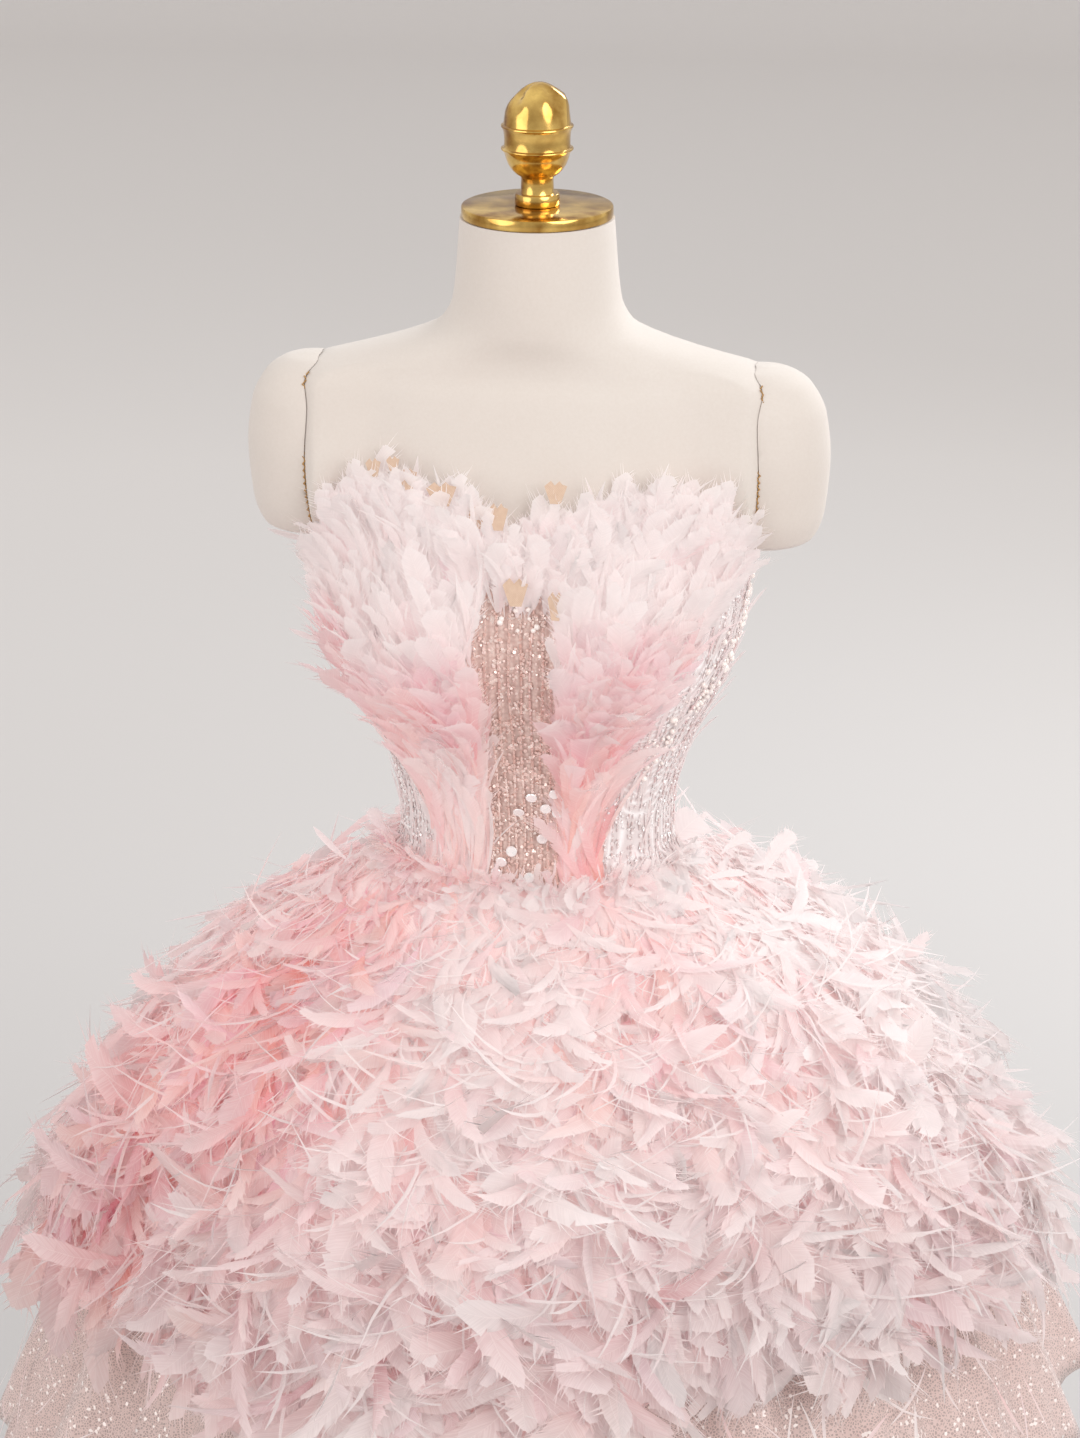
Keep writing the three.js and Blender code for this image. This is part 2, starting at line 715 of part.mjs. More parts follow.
for (let gore = 0; gore < GORES; gore += 1) {
  piece(`tulle_inner_${gore + 1}`, tulleGore(INNER_TULLE, INNER_WAVES, gore), NET);
  piece(`tulle_outer_${gore + 1}`, tulleGore(OUTER_TULLE, OUTER_WAVES, gore), NET);
}
OVERSKIRT_NAMES.forEach((name, k) => piece(`overskirt_${name}`, overskirtPanel(k), BLUSH));

SKIRT_ROWS.forEach((row, k) => {
  const look = k === 0 || k === 2 ? PINK_FEATHER : WHITE_FEATHER;
  piece(`skirt_feathers_${k + 1}`, skirtFeathers(row, k + 1), look);
});
BODICE_ROWS.forEach((row, k) => {
  const look = k < 3 ? PINK_FEATHER : WHITE_FEATHER;
  piece(`bodice_feathers_right_${k + 1}`, bodiceFeathers(row, k + 1, 1), look);
  piece(`bodice_feathers_left_${k + 1}`, bodiceFeathers(row, k + 1, -1), look);
});
piece('neckline_feathers', necklineFeathers(), WHITE_FEATHER);

export default part;
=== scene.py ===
"""Strapless feather dress on its limbless dress form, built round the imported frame."""

import math

import bpy
import numpy as np
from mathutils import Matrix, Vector


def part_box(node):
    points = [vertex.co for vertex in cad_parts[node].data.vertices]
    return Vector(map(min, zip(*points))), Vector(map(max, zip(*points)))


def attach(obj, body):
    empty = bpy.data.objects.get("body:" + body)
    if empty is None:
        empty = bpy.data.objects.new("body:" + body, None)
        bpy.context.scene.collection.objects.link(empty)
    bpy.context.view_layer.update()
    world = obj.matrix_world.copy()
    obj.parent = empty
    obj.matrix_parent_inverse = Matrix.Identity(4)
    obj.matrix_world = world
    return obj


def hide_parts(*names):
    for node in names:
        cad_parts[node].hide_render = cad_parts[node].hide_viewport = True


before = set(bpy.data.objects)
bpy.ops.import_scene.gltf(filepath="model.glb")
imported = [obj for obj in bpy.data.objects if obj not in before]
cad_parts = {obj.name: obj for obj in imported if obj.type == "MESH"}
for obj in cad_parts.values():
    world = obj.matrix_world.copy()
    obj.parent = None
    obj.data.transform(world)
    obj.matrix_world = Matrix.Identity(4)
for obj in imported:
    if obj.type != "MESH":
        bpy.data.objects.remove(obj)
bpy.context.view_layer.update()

MM = 0.001
WAIST = 1050.0  # height of the waist above the floor, in millimetres like every length below
HEM_DROP = 322.0  # how far the overskirt's hem lies below the waist


# ---- Camera ----

def add_camera(azimuth, pitch, distance, lens, aim):
    data = bpy.data.cameras.new("camera")
    data.lens, data.sensor_width, data.sensor_fit = lens, 36, "AUTO"
    data.clip_end = 60
    seen = bpy.data.objects.new("camera", data)
    bpy.context.collection.objects.link(seen)
    a, e = math.radians(azimuth), math.radians(pitch)
    view = Vector((-math.sin(a) * math.cos(e), math.cos(a) * math.cos(e), -math.sin(e)))
    seen.location = Vector(aim) - view * distance
    seen.rotation_euler = view.to_track_quat("-Z", "Y").to_euler()
    bpy.context.scene.camera = seen


add_camera(azimuth=6.75, pitch=21.27, distance=2.7787, lens=85.1, aim=(0.0021, 0, 1.13805))


# ---- Named-column tables and the curves through them ----

def table(columns, rows):
    return {name: np.array(values, float) for name, values in zip(columns.split(), zip(*rows))}


def curve(source, key, where, column):
    """The smooth value of a column, without overshoot, at values of the key column."""
    keys, values = source[key], source[column]
    x = np.clip(np.asarray(where, float), keys[0], keys[-1])
    i = np.clip(np.searchsorted(keys, x, side="left") - 1, 0, len(keys) - 2)
    steps, rises = np.diff(keys), np.diff(values)
    chords = rises / steps
    slopes = np.empty(len(keys))
    slopes[0], slopes[-1] = chords[0], chords[-1]
    before, after = chords[:-1], chords[1:]
    level = before * after <= 0
    slopes[1:-1] = np.where(level, 0, 2 * before * after / np.where(level, 1, before + after))
    t = (x - keys[i]) / steps[i]
    start, end, chord = slopes[i], slopes[i + 1], chords[i]
    bend = t * (1 - t) * steps[i] * ((1 - t) * (start - chord) + t * (chord - end))
    return values[i] + rises[i] * t + bend


BODY = table("up half front back cup", [
    (-232, 142, 96, 106, 0), (-205, 163, 110, 122, 0), (-140, 170, 116, 128, 0),
    (-62, 140, 101, 107, 0), (-40, 126, 94, 98, 0), (-22, 115, 89, 91, 0),
    (-4, 109, 86, 87, 0), (20, 109, 85, 86, 0), (50, 114, 88, 89, 0.02),
    (86, 126, 95, 94, 0.22), (112, 138, 101, 97, 0.55), (138, 150, 105, 99, 0.85),
    (162, 158, 107, 99, 1), (185, 163, 107, 99, 0.96), (212, 167, 105, 98, 0.7),
    (252, 174, 100, 95, 0.25), (290, 181, 91, 90, 0.04), (335, 186, 75, 78, 0),
    (374, 186, 61, 64, 0), (390, 174, 54, 57, 0), (401, 136, 54, 57, 0),
    (411, 101, 57, 60, 0), (422, 77, 60, 62, 0), (442, 66, 61, 61, 0), (505, 60, 58, 58, 0),
])
CUP_HEIGHT, CUP_ACROSS, CUP_SPREAD = 27.0, 74.0, 50.0  # each cup's depth, place to the side and breadth
TOP_EDGE = table("angle up", [
    (0, 276), (14, 290), (34, 308), (47, 296), (60, 262), (75, 238), (90, 226), (130, 186), (180, 170),
])
OVERSKIRT = table("drop half depth lobe", [
    (22.8, 117.7, 93.3, 0), (34, 130, 108, 0), (50, 151, 136, 0.01), (75, 190, 181, 0.03),
    (105, 232, 227, 0.05), (150, 282, 279, 0.07), (200, 327, 325, 0.085), (262, 376, 376, 0.1),
    (322, 410, 410, 0.1),
])
OUTER_TULLE = table("drop half depth lobe gather", [
    (40, 126.8, 98.8, 0, 0), (130, 248, 240, 0.05, 6), (300, 368, 366, 0.085, 10), (500, 462, 462, 0.04, 15),
])
INNER_TULLE = table("drop half depth lobe gather", [
    (62, 140.8, 107.8, 0, 0), (110, 196, 186, 0.02, 5), (280, 324, 322, 0.06, 9), (480, 412, 412, 0.03, 13),
])
VALLEYS = np.array([-50.0, 26.0, 104.0, 172.0, 240.0, 310.0])  # where the skirt dips, in degrees
SCALLOP, SIDE_LIFT, LIFT_FROM = 26.0, 42.0, 62.0  # how far lobes sag and a side lifts, below which drop
BODICE_BOTTOM = -22.0
BODICE_RADIUS = 105.0  # a mean one, to turn a seam's width into an angle
TURN_STEP = 0.02  # half the angle across which a surface's slope is measured
BODY_CLEAR, CLOTH, TULLE_WALL, SEAM = 1.2, 2.0, 1.3, 0.3


# ---- Surfaces: angles in radians from the front towards +X, points as rows of x, y, z ----

def unit(vectors):
    return vectors / np.maximum(np.linalg.norm(vectors, axis=-1, keepdims=True), 1e-9)


def body_depth(ahead, up):
    """The body's depth: to the front where ahead is positive, and to the back elsewhere."""
    return np.where(ahead > 0, curve(BODY, "up", up, "front"), curve(BODY, "up", up, "back"))


def body_point(angle, up):
    angle, up = np.broadcast_arrays(np.asarray(angle, float), np.asarray(up, float))
    ahead = np.cos(angle)
    x = curve(BODY, "up", up, "half") * np.sin(angle)
    away = (np.abs(x) - CUP_ACROSS) / CUP_SPREAD
    cup = CUP_HEIGHT * curve(BODY, "up", up, "cup") * np.exp(-away * away)
    y = -body_depth(ahead, up) * ahead - cup * np.sqrt(np.maximum(ahead, 0))
    return np.stack([x, y, WAIST + up], axis=-1)


def surface_normal(surface, angle, along, step):
    across = surface(angle + TURN_STEP, along) - surface(angle - TURN_STEP, along)
    along = surface(angle, along + step) - surface(angle, along - step)
    return unit(np.cross(across, along))


def body_normal(angle, up):
    return surface_normal(body_point, np.asarray(angle, float), np.asarray(up, float), 2.0)


def off_body(angle, up, off):
    return body_point(angle, up) + body_normal(angle, up) * np.asarray(off)[..., None]


def on_bodice(angle, up, off):
    """Places on the bodice with their directions round, up and out."""
    normal = body_normal(angle, up)
    upward = unit(body_point(angle, up + 3) - body_point(angle, up - 3))
    return off_body(angle, up, BODY_CLEAR + CLOTH + off), unit(np.cross(upward, normal)), upward, normal


def top_edge(angle):
    wrapped = np.abs((np.degrees(angle) + 540) % 360 - 180)
    return curve(TOP_EDGE, "angle", wrapped, "up")


def lobe_shape(angle):
    degrees = (np.degrees(angle) + 50) % 360 - 50
    i = np.clip(np.searchsorted(VALLEYS, degrees, side="right") - 1, 0, len(VALLEYS) - 2)
    share = (degrees - VALLEYS[i]) / (VALLEYS[i + 1] - VALLEYS[i])
    return np.maximum(np.sin(np.pi * share), 0) ** 0.75


def skirt_point(layer, angle, drop, swell=0.0):
    lobe = lobe_shape(angle)
    grow = 1 + curve(layer, "drop", drop, "lobe") * (lobe * 1.5 - 1)
    share = np.minimum(np.maximum(drop - LIFT_FROM, 0) / (HEM_DROP - LIFT_FROM), 1.2)
    x = (curve(layer, "drop", drop, "half") * grow + swell) * np.sin(angle)
    y = -(curve(layer, "drop", drop, "depth") * grow + swell) * np.cos(angle)
    lift = (SIDE_LIFT * np.sin(angle) - SCALLOP * lobe) * share ** 2
    return np.stack([x, y, WAIST - drop + lift], axis=-1)


PATH_DROP = np.arange(OVERSKIRT["drop"][0], HEM_DROP + 0.5, 1.0)
PATH_HALF = curve(OVERSKIRT, "drop", PATH_DROP, "half")
PATH_LENGTH = np.concatenate([[0], np.cumsum(np.hypot(np.diff(PATH_DROP), np.diff(PATH_HALF)))])
HEM_ALONG = PATH_LENGTH[-1]


def overskirt_point(angle, along):
    angle, along = np.broadcast_arrays(np.asarray(angle, float), np.asarray(along, float))
    place = skirt_point(OVERSKIRT, angle, np.interp(along, PATH_LENGTH, PATH_DROP))
    hem = skirt_point(OVERSKIRT, angle, np.full_like(angle, PATH_DROP[-1]))
    above = skirt_point(OVERSKIRT, angle, np.full_like(angle, PATH_DROP[-1] - 12))
    past = np.maximum(along - HEM_ALONG, 0)[..., None]
    return place + unit(hem - above) * past


def overskirt_normal(angle, along):
    return -surface_normal(overskirt_point, angle, along, 3.0)


def noise_field(angle, along, seed):
    """A soft, seeded pattern of patches round the dress, from about -1 to 1."""
    draw = np.random.default_rng(seed)
    total = np.zeros(np.broadcast(angle, along).shape)
    for size in (1, 2, 3, 5):
        turns, phase = draw.integers(1, 3 * size + 1), draw.uniform(0, 2 * np.pi, 2)
        total += np.sin(turns * angle + phase[0]) * np.sin(along / (150 / size) + phase[1]) / size
    return total / 1.4


# ---- Meshes and pieces ----

def mesh_object(name, points, faces, smooth=True):
    """An object from points in millimetres and a whole-number array of triangles or quads."""
    faces = np.asarray(faces, np.int32)
    mesh = bpy.data.meshes.new(name)
    mesh.vertices.add(len(points))
    mesh.vertices.foreach_set("co", (np.asarray(points, np.float64) * MM).astype(np.float32).ravel())
    mesh.loops.add(faces.size)
    mesh.loops.foreach_set("vertex_index", faces.ravel())
    mesh.polygons.add(len(faces))
    mesh.polygons.foreach_set("loop_start", np.arange(0, faces.size, faces.shape[1], dtype=np.int32))
    mesh.polygons.foreach_set("use_smooth", np.full(len(faces), smooth))
    mesh.update(calc_edges=True)
    mesh.validate()
    made = bpy.data.objects.new(name, mesh)
    bpy.context.collection.objects.link(made)
    return made


def paint(piece, name, kind, values):
    """Stores a value for each point, for its material to read."""
    layer = piece.data.attributes.new(name, kind, "POINT")
    layer.data.foreach_set("color" if kind == "FLOAT_COLOR" else "vector", values.astype(np.float32).ravel())


def settle(piece, material, slot, *nodes):
    """Gives a finished piece its material, its body and the CAD nodes that it stands for."""
    piece.data.materials.clear()
    piece.data.materials.append(material)
    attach(piece, "root")
    if nodes:
        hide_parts(*nodes)
    return piece


def grid_faces(columns, rows, closed):
    i = np.arange(columns if closed else columns - 1)[:, None]
    j = np.arange(rows - 1)[None, :]
    here, there = i * rows + j, ((i + 1) % columns) * rows + j
    return np.stack([here, there, there + 1, here + 1], axis=-1).reshape(-1, 4)


def sheet_mesh(name, inner, outer, closed):
    """Cloth with a real thickness between two grids of points, columns first."""
    columns, rows = inner.shape[:2]
    count = columns * rows
    face = grid_faces(columns, rows, closed)
    faces = [face[:, ::-1], face + count]
    i = np.arange(columns if closed else columns - 1)
    for j, turned_round in ((0, False), (rows - 1, True)):
        here, there = i * rows + j, ((i + 1) % columns) * rows + j
        edge = np.stack([here, there, there + count, here + count], axis=-1)
        faces.append(edge[:, ::-1] if turned_round else edge)
    if not closed:
        j = np.arange(rows - 1)
        for column, turned_round in ((0, True), (columns - 1, False)):
            here = column * rows + j
            edge = np.stack([here, here + 1, here + 1 + count, here + count], axis=-1)
            faces.append(edge[:, ::-1] if turned_round else edge)
    points = np.concatenate([inner.reshape(-1, 3), outer.reshape(-1, 3)])
    return mesh_object(name, points, np.concatenate(faces))


def only(piece):
    """Selects one piece alone and makes it active."""
    for other in bpy.context.selected_objects:
        other.select_set(False)
    piece.select_set(True)
    bpy.context.view_layer.objects.active = piece


def smooth_by_angle(piece, degrees):
    only(piece)
    bpy.ops.object.shade_smooth_by_angle(angle=math.radians(degrees))


def turned(name, profile, height, sides, angle=35):
    """A turned piece: a disc extruded and resized up its profile of radius and height."""
    bpy.ops.object.select_all(action="DESELECT")
    radius, up = profile[0]
    bpy.ops.mesh.primitive_circle_add(
        vertices=sides, radius=radius * MM, fill_type="NGON", location=(0, 0, (height + up) * MM))
    piece = bpy.context.object
    piece.name = piece.data.name = name
    bpy.ops.object.transform_apply(location=True)
    bpy.ops.object.mode_set(mode="EDIT")
    bpy.ops.mesh.select_all(action="SELECT")
    for new_radius, new_up in profile[1:]:
        rise = (0, 0, (new_up - up) * MM)
        bpy.ops.mesh.extrude_region_move(TRANSFORM_OT_translate={"value": rise})
        size = new_radius / radius
        if size != 1:
            centre = (0, 0, (height + new_up) * MM)
            bpy.ops.transform.resize(value=(size, size, 1), center_override=centre)
        radius, up = new_radius, new_up
    bpy.ops.mesh.select_all(action="SELECT")
    bpy.ops.mesh.normals_make_consistent(inside=False)
    bpy.ops.object.mode_set(mode="OBJECT")
    smooth_by_angle(piece, angle)
    return piece


# ---- Shader maths ----

class Flow:
    """A number on its way through a material, so that sums on it add Math nodes."""

    def __init__(self, finish, socket):
        self.finish, self.socket = finish, socket

    def _maths(self, operation, a, b=0.0):
        return self.finish.node("Math", {"operation": operation}, {0: a, 1: b})

    def __add__(self, other):
        return self._maths("ADD", self, other)

    def __sub__(self, other):
        return self._maths("SUBTRACT", self, other)

    def __rsub__(self, other):
        return self._maths("SUBTRACT", other, self)

    def __mul__(self, other):
        return self._maths("MULTIPLY", self, other)

    def __pow__(self, other):
        return self._maths("POWER", self, other)

    def __gt__(self, other):
        return self._maths("GREATER_THAN", self, other)

    def __lt__(self, other):
        return self._maths("LESS_THAN", self, other)

    def sine(self):
        return self._maths("SINE", self)

    def least(self, other):
        return self._maths("MINIMUM", self, other)

    def most(self, other):
        return self._maths("MAXIMUM", self, other)


class Finish:
    """A material and the nodes that make it."""

    def __init__(self, name):
        self.material = bpy.data.materials.new(name)
        self.material.use_nodes = True
        self.tree = self.material.node_tree
        self.tree.nodes.clear()
        self.end = self.tree.nodes.new("ShaderNodeOutputMaterial")

    def node(self, kind, settings=None, inputs=None, output=0):
        made = self.tree.nodes.new("ShaderNode" + kind)
        for key, value in (settings or {}).items():
            setattr(made, key, value)
        for key, value in (inputs or {}).items():
            if isinstance(value, Flow):
                self.tree.links.new(value.socket, made.inputs[key])
            else:
                made.inputs[key].default_value = value
        return Flow(self, made.outputs[output])

    def place(self):
        return self.node("TexCoord", output="Object")

    def split(self, vector):
        node = self.node("SeparateXYZ", None, {0: vector}).socket.node
        return [Flow(self, node.outputs[k]) for k in range(3)]

    def noise(self, scale, detail, where=None):
        inputs = {"Vector": where or self.place(), "Scale": scale, "Detail": detail}
        return self.node("TexNoise", None, inputs)

    def speck(self, scale, where=None):
        """A number of its own for each little cell, at so many cells to a metre."""
        cell = self.node("TexVoronoi", None, {"Vector": where or self.place(), "Scale": scale}, "Color")
        return self.node("SeparateColor", None, {0: cell})

    def mix(self, factor, a, b):
        inputs = {0: factor, 6: a, 7: b}
        return self.node("Mix", {"data_type": "RGBA"}, inputs, 2)

    def join(self, x, y, z):
        return self.node("CombineXYZ", None, {0: x, 1: y, 2: z})

    def painted(self, name, output):
        return self.node("Attribute", {"attribute_name": name}, None, output)

    def bump(self, height, strength, distance):
        return self.node("Bump", None, {"Height": height, "Strength": strength, "Distance": distance})

    def principled(self, **inputs):
        names = {key.replace("_", " "): value for key, value in inputs.items()}
        return self.node("BsdfPrincipled", None, names)

    def surface(self, shader):
        self.tree.links.new(shader.socket, self.end.inputs["Surface"])
        return self.material

    def done(self, **inputs):
        """The material, where one principled shader is the whole of its surface."""
        return self.surface(self.principled(**inputs))


def rgb(red, green, blue):
    """A shader colour from the 0 to 255 values of a swatch."""
    linear = [((v / 255 + 0.055) / 1.055) ** 2.4 if v > 10 else v / 255 / 12.92 for v in (red, green, blue)]
    return (*linear, 1.0)


def woven(finish, threads, lift):
    """A plain weave: crossed threads, as a height, at so many threads to a metre."""
    x, y, z = finish.split(finish.place())
    wave = 2 * math.pi * threads
    warp = ((x + y) * wave).sine()
    weft = (z * wave).sine()
    return (warp * weft + 1) * lift


def canvas_finish():
    finish = Finish("cream canvas")
    cloudy = finish.noise(6.0, 4.0)
    slub = finish.noise(420.0, 2.0)
    base = finish.mix(cloudy, rgb(214, 204, 196), rgb(224, 217, 211))
    base = finish.mix(slub * 0.35, base, rgb(202, 190, 179))
    height = woven(finish, 900, 0.5) + slub
    normal = finish.bump(height, 0.18, 0.0004)
    return finish.done(
        Base_Color=base, Roughness=0.86, Normal=normal, Sheen_Weight=0.25, Sheen_Roughness=0.6)


def brass_finish():
    finish = Finish("polished brass with painted reflections")
    cloudy = finish.noise(38.0, 5.0)
    streak = finish.noise(160.0, 3.0)
    # Painted reflections: dark brown and bright gold patches in the base colour stand for the room seen in
    # the brass.
    base = finish.mix((cloudy * 3 - 1.0).most(0).least(1), rgb(150, 104, 42), rgb(246, 208, 122))
    rough = cloudy * 0.1 + streak * 0.08 + 0.07
    normal = finish.bump(streak, 0.04, 0.0005)
    return finish.done(Base_Color=base, Roughness=rough, Metallic=1.0, Normal=normal)


def twill_finish():
    finish = Finish("nude twill")
    x, y, z = finish.split(finish.place())
    rib = ((x + y + z) * (2 * math.pi * 620)).sine()
    slub = finish.noise(300.0, 3.0)
    base = finish.mix(slub, rgb(204, 172, 148), rgb(224, 198, 176))
    normal = finish.bump(rib + slub, 0.3, 0.0003)
    return finish.done(
        Base_Color=base, Roughness=0.8, Normal=normal, Sheen_Weight=0.35, Sheen_Roughness=0.5)


def sequinned_finish():
    finish = Finish("rose sequinned net")
    place = finish.place()
    cell = finish.node("TexVoronoi", None, {"Vector": place, "Scale": 330.0}, "Distance")
    red = finish.speck(330.0, place)
    glint = red > 0.86
    net = finish.mix(cell, rgb(238, 214, 206), rgb(204, 174, 166))
    x = finish.split(place)[0]
    between = ((x * (2 * math.pi / 0.0066)).sine() * 0.5 + 0.5) ** 2
    net = finish.mix(between * 0.5, net, rgb(178, 140, 132))
    base = finish.mix(glint, net, rgb(250, 226, 218))
    normal = finish.bump(cell + red, 0.5, 0.0006)
    rough = 0.5 - glint * 0.35
    return finish.done(Base_Color=base, Roughness=rough, Metallic=glint * 0.6, Normal=normal)


def silvery_finish():
    """The side panels: nude net under fine upright silver and white threads."""
    finish = Finish("silver threaded net")
    x, y, _ = finish.split(finish.place())
    sway = finish.noise(9.0, 2.0)
    thread = (((x - y) * 2300) + sway * 14).sine()
    slub = finish.noise(260.0, 3.0)
    lit = (thread * 0.5 + 0.5) ** 2
    base = finish.mix(lit, rgb(226, 216, 216), rgb(252, 250, 251))
    base = finish.mix(slub * 0.3, base, rgb(236, 222, 222))
    normal = finish.bump(thread + slub, 0.35, 0.0004)
    return finish.done(
        Base_Color=base, Roughness=0.45, Normal=normal, Sheen_Weight=0.4, Sheen_Roughness=0.4)


def tulle_finish():
    finish = Finish("sheer glitter tulle")
    place = finish.place()
    mesh_cell = finish.node("TexVoronoi", {"feature": "DISTANCE_TO_EDGE"}, {"Vector": place, "Scale": 420.0})
    spark = finish.speck(420.0, place) > 0.96
    cloudy = finish.noise(7.0, 3.0)
    base = finish.mix(cloudy, rgb(208, 182, 177), rgb(230, 210, 205))
    base = finish.mix(spark, base, rgb(255, 246, 243))
    alpha = (0.97 - (mesh_cell > 0.16) * 0.4).most(spark)
    return finish.done(
        Base_Color=base, Roughness=0.5, Metallic=spark * 0.5, Alpha=alpha, Sheen_Weight=0.3)


def blush_finish():
    finish = Finish("blush net")
    cloudy = finish.noise(14.0, 4.0)
    fine = finish.noise(500.0, 2.0)
    base = finish.mix(cloudy, rgb(244, 205, 205), rgb(250, 228, 226))
    normal = finish.bump(fine + woven(finish, 700, 0.4), 0.3, 0.0004)
    return finish.done(Base_Color=base, Roughness=0.8, Normal=normal, Sheen_Weight=0.3)


def feather_finish():
    """Dyed vanes: fine barbs slanting out from a pale quill, light shining through them, and a painted glow
    of their own colour that lifts the shade between them.
    """
    finish = Finish("dyed feather with painted glow")
    tint = finish.painted("tint", "Color")
    along, aside, reach = finish.split(finish.painted("vane", "Vector"))
    barb = along - aside * 0.85
    streak = finish.noise(1.0, 0.0, finish.join(barb * 1.1, aside * 0.05, 0.0))
    base = finish.mix((streak * 1.2 - 0.5).most(0).least(0.2), tint, rgb(254, 251, 251))
    base = finish.mix((reach < 0.03) * 0.22, base, rgb(255, 250, 246))
    normal = finish.bump((barb * 6.5).sine(), 0.04, 0.0003)
    # Painted glow: the vane emits its own colour, so the feathers glow faintly even without a lamp.
    vane = finish.principled(
        Base_Color=base, Roughness=0.62, Normal=normal, Sheen_Weight=0.3, Sheen_Roughness=0.4,
        Emission_Color=base, Emission_Strength=0.29)
    glow = finish.node("BsdfTranslucent", None, {"Color": rgb(248, 234, 232)})
    finish.material.cycles.emission_sampling = "NONE"
    return finish.surface(finish.node("MixShader", None, {0: 0.46, 1: vane, 2: glow}))


def glass_bead_finish(name, dark, light, rough):
    finish = Finish(name)
    red = finish.speck(150.0)
    base = finish.mix(red, dark, light)
    return finish.done(
        Base_Color=base, Roughness=red * 0.12 + rough, Metallic=red * 0.55,
        Coat_Weight=0.6, Coat_Roughness=0.05)


def pearl_finish():
    finish = Finish("pearl")
    cloudy = finish.noise(120.0, 2.0)
    base = finish.mix(cloudy, rgb(246, 232, 226), rgb(255, 251, 248))
    return finish.done(
        Base_Color=base, Roughness=cloudy * 0.1 + 0.12, Coat_Weight=0.7, Sheen_Weight=0.2)


def thread_finish():
    finish = Finish("gold brown thread")
    twist = finish.noise(900.0, 2.0)
    base = finish.mix(twist, rgb(138, 96, 52), rgb(206, 164, 102))
    normal = finish.bump(twist, 0.4, 0.0003)
    return finish.done(Base_Color=base, Roughness=0.6, Normal=normal)


CANVAS = canvas_finish()
BRASS = brass_finish()
TWILL = twill_finish()
SEQUINNED = sequinned_finish()
SILVERY = silvery_finish()
TULLE = tulle_finish()
BLUSH = blush_finish()
FEATHER = feather_finish()
BEAD = glass_bead_finish("silver lined bead", rgb(214, 190, 188), rgb(255, 250, 250), 0.12)
ROSE_BEAD = glass_bead_finish("rose sequin", rgb(224, 186, 176), rgb(255, 240, 234), 0.14)
PAILLETTE = glass_bead_finish("white paillette", rgb(244, 236, 236), rgb(255, 255, 255), 0.08)
PEARL = pearl_finish()
THREAD = thread_finish()


# ---- Dress form ----

PRINCESS_SEAM = 34.0  # degrees from the front


def form_point(angle, up):
    """The body, with a flat plate at each armhole where the bodice doesn't reach."""
    angle, up = np.broadcast_arrays(np.asarray(angle, float), np.asarray(up, float))
    points = body_point(angle, up)
    s, c = np.sin(angle), np.cos(angle)
    square = np.stack([
        curve(BODY, "up", up, "half") * np.sign(s) * np.abs(s) ** 0.4,
        -body_depth(c, up) * np.sign(c) * np.abs(c) ** 0.55, WAIST + up], axis=-1)
    share = np.clip((np.abs(s) - 0.62) / 0.2, 0, 1) * np.clip((up - top_edge(angle) - 4) / 26, 0, 1)
    share = (share * np.clip((396 - up) / 14, 0, 1))[..., None]
    share = share * share * (3 - 2 * share)
    return points * (1 - share) + square * share


def canvas_body(name, node, points, ends, mirrored=False):
    """A closed piece of the form, from columns of points and the middle point of each end."""
    columns, rows = points.shape[:2]
    count, top = columns * rows, rows - 1
    faces = grid_faces(columns, rows, True)
    foot = np.arange(columns) * rows
    after = np.roll(foot, -1)
    triangles = np.concatenate([
        faces[:, [0, 1, 2]], faces[:, [0, 2, 3]],
        np.column_stack([after, foot, np.full(columns, count)]),
        np.column_stack([foot + top, after + top, np.full(columns, count + 1)]),
    ])
    if mirrored:
        triangles = triangles[:, ::-1]
    piece = mesh_object(name, np.concatenate([points.reshape(-1, 3), ends]), triangles)
    smooth_by_angle(piece, 50)
    settle(piece, CANVAS, "canvas", node)


def torso():
    """The canvas body: closed top and bottom, with its neck and princess seams drawn in."""
    columns, rows = 144, 136
    angle = np.linspace(0, 2 * np.pi, columns, endpoint=False)[:, None]
    up = np.linspace(BODY["up"][0], BODY["up"][-1], rows)[None, :]
    angle, up = np.broadcast_arrays(angle, up)
    points = form_point(angle, up)
    neck_line = 419 - 9 * np.cos(angle)
    groove = 0.7 * np.exp(-((up - neck_line) / 1.6) ** 2)
    princess = np.abs(np.abs(np.degrees(np.arctan2(points[..., 0], -points[..., 1]))) - PRINCESS_SEAM) / 0.9
    groove = groove + np.where(up > 300, 0.0, 0.3 * np.exp(-princess ** 2))
    points = points - body_normal(angle, up) * groove[..., None]
    ends = np.array([[0, 0, points[0, 0, 2]], [0, 0, points[0, -1, 2]]])
    canvas_body("torso_canvas", "form_torso", points, ends)


CAP = table("up out deep", [
    (246, 8, 8), (247.5, 27, 23), (255, 43, 39), (278, 51, 48), (320, 54, 51), (354, 50, 47),
    (378, 38, 36), (389, 22, 21), (392, 6, 6),
])
CAP_AXIS = 178.0
ARMHOLE_GAP = 1.0
SIDE_POINTS = 240  # points along one side of a level cut through the torso


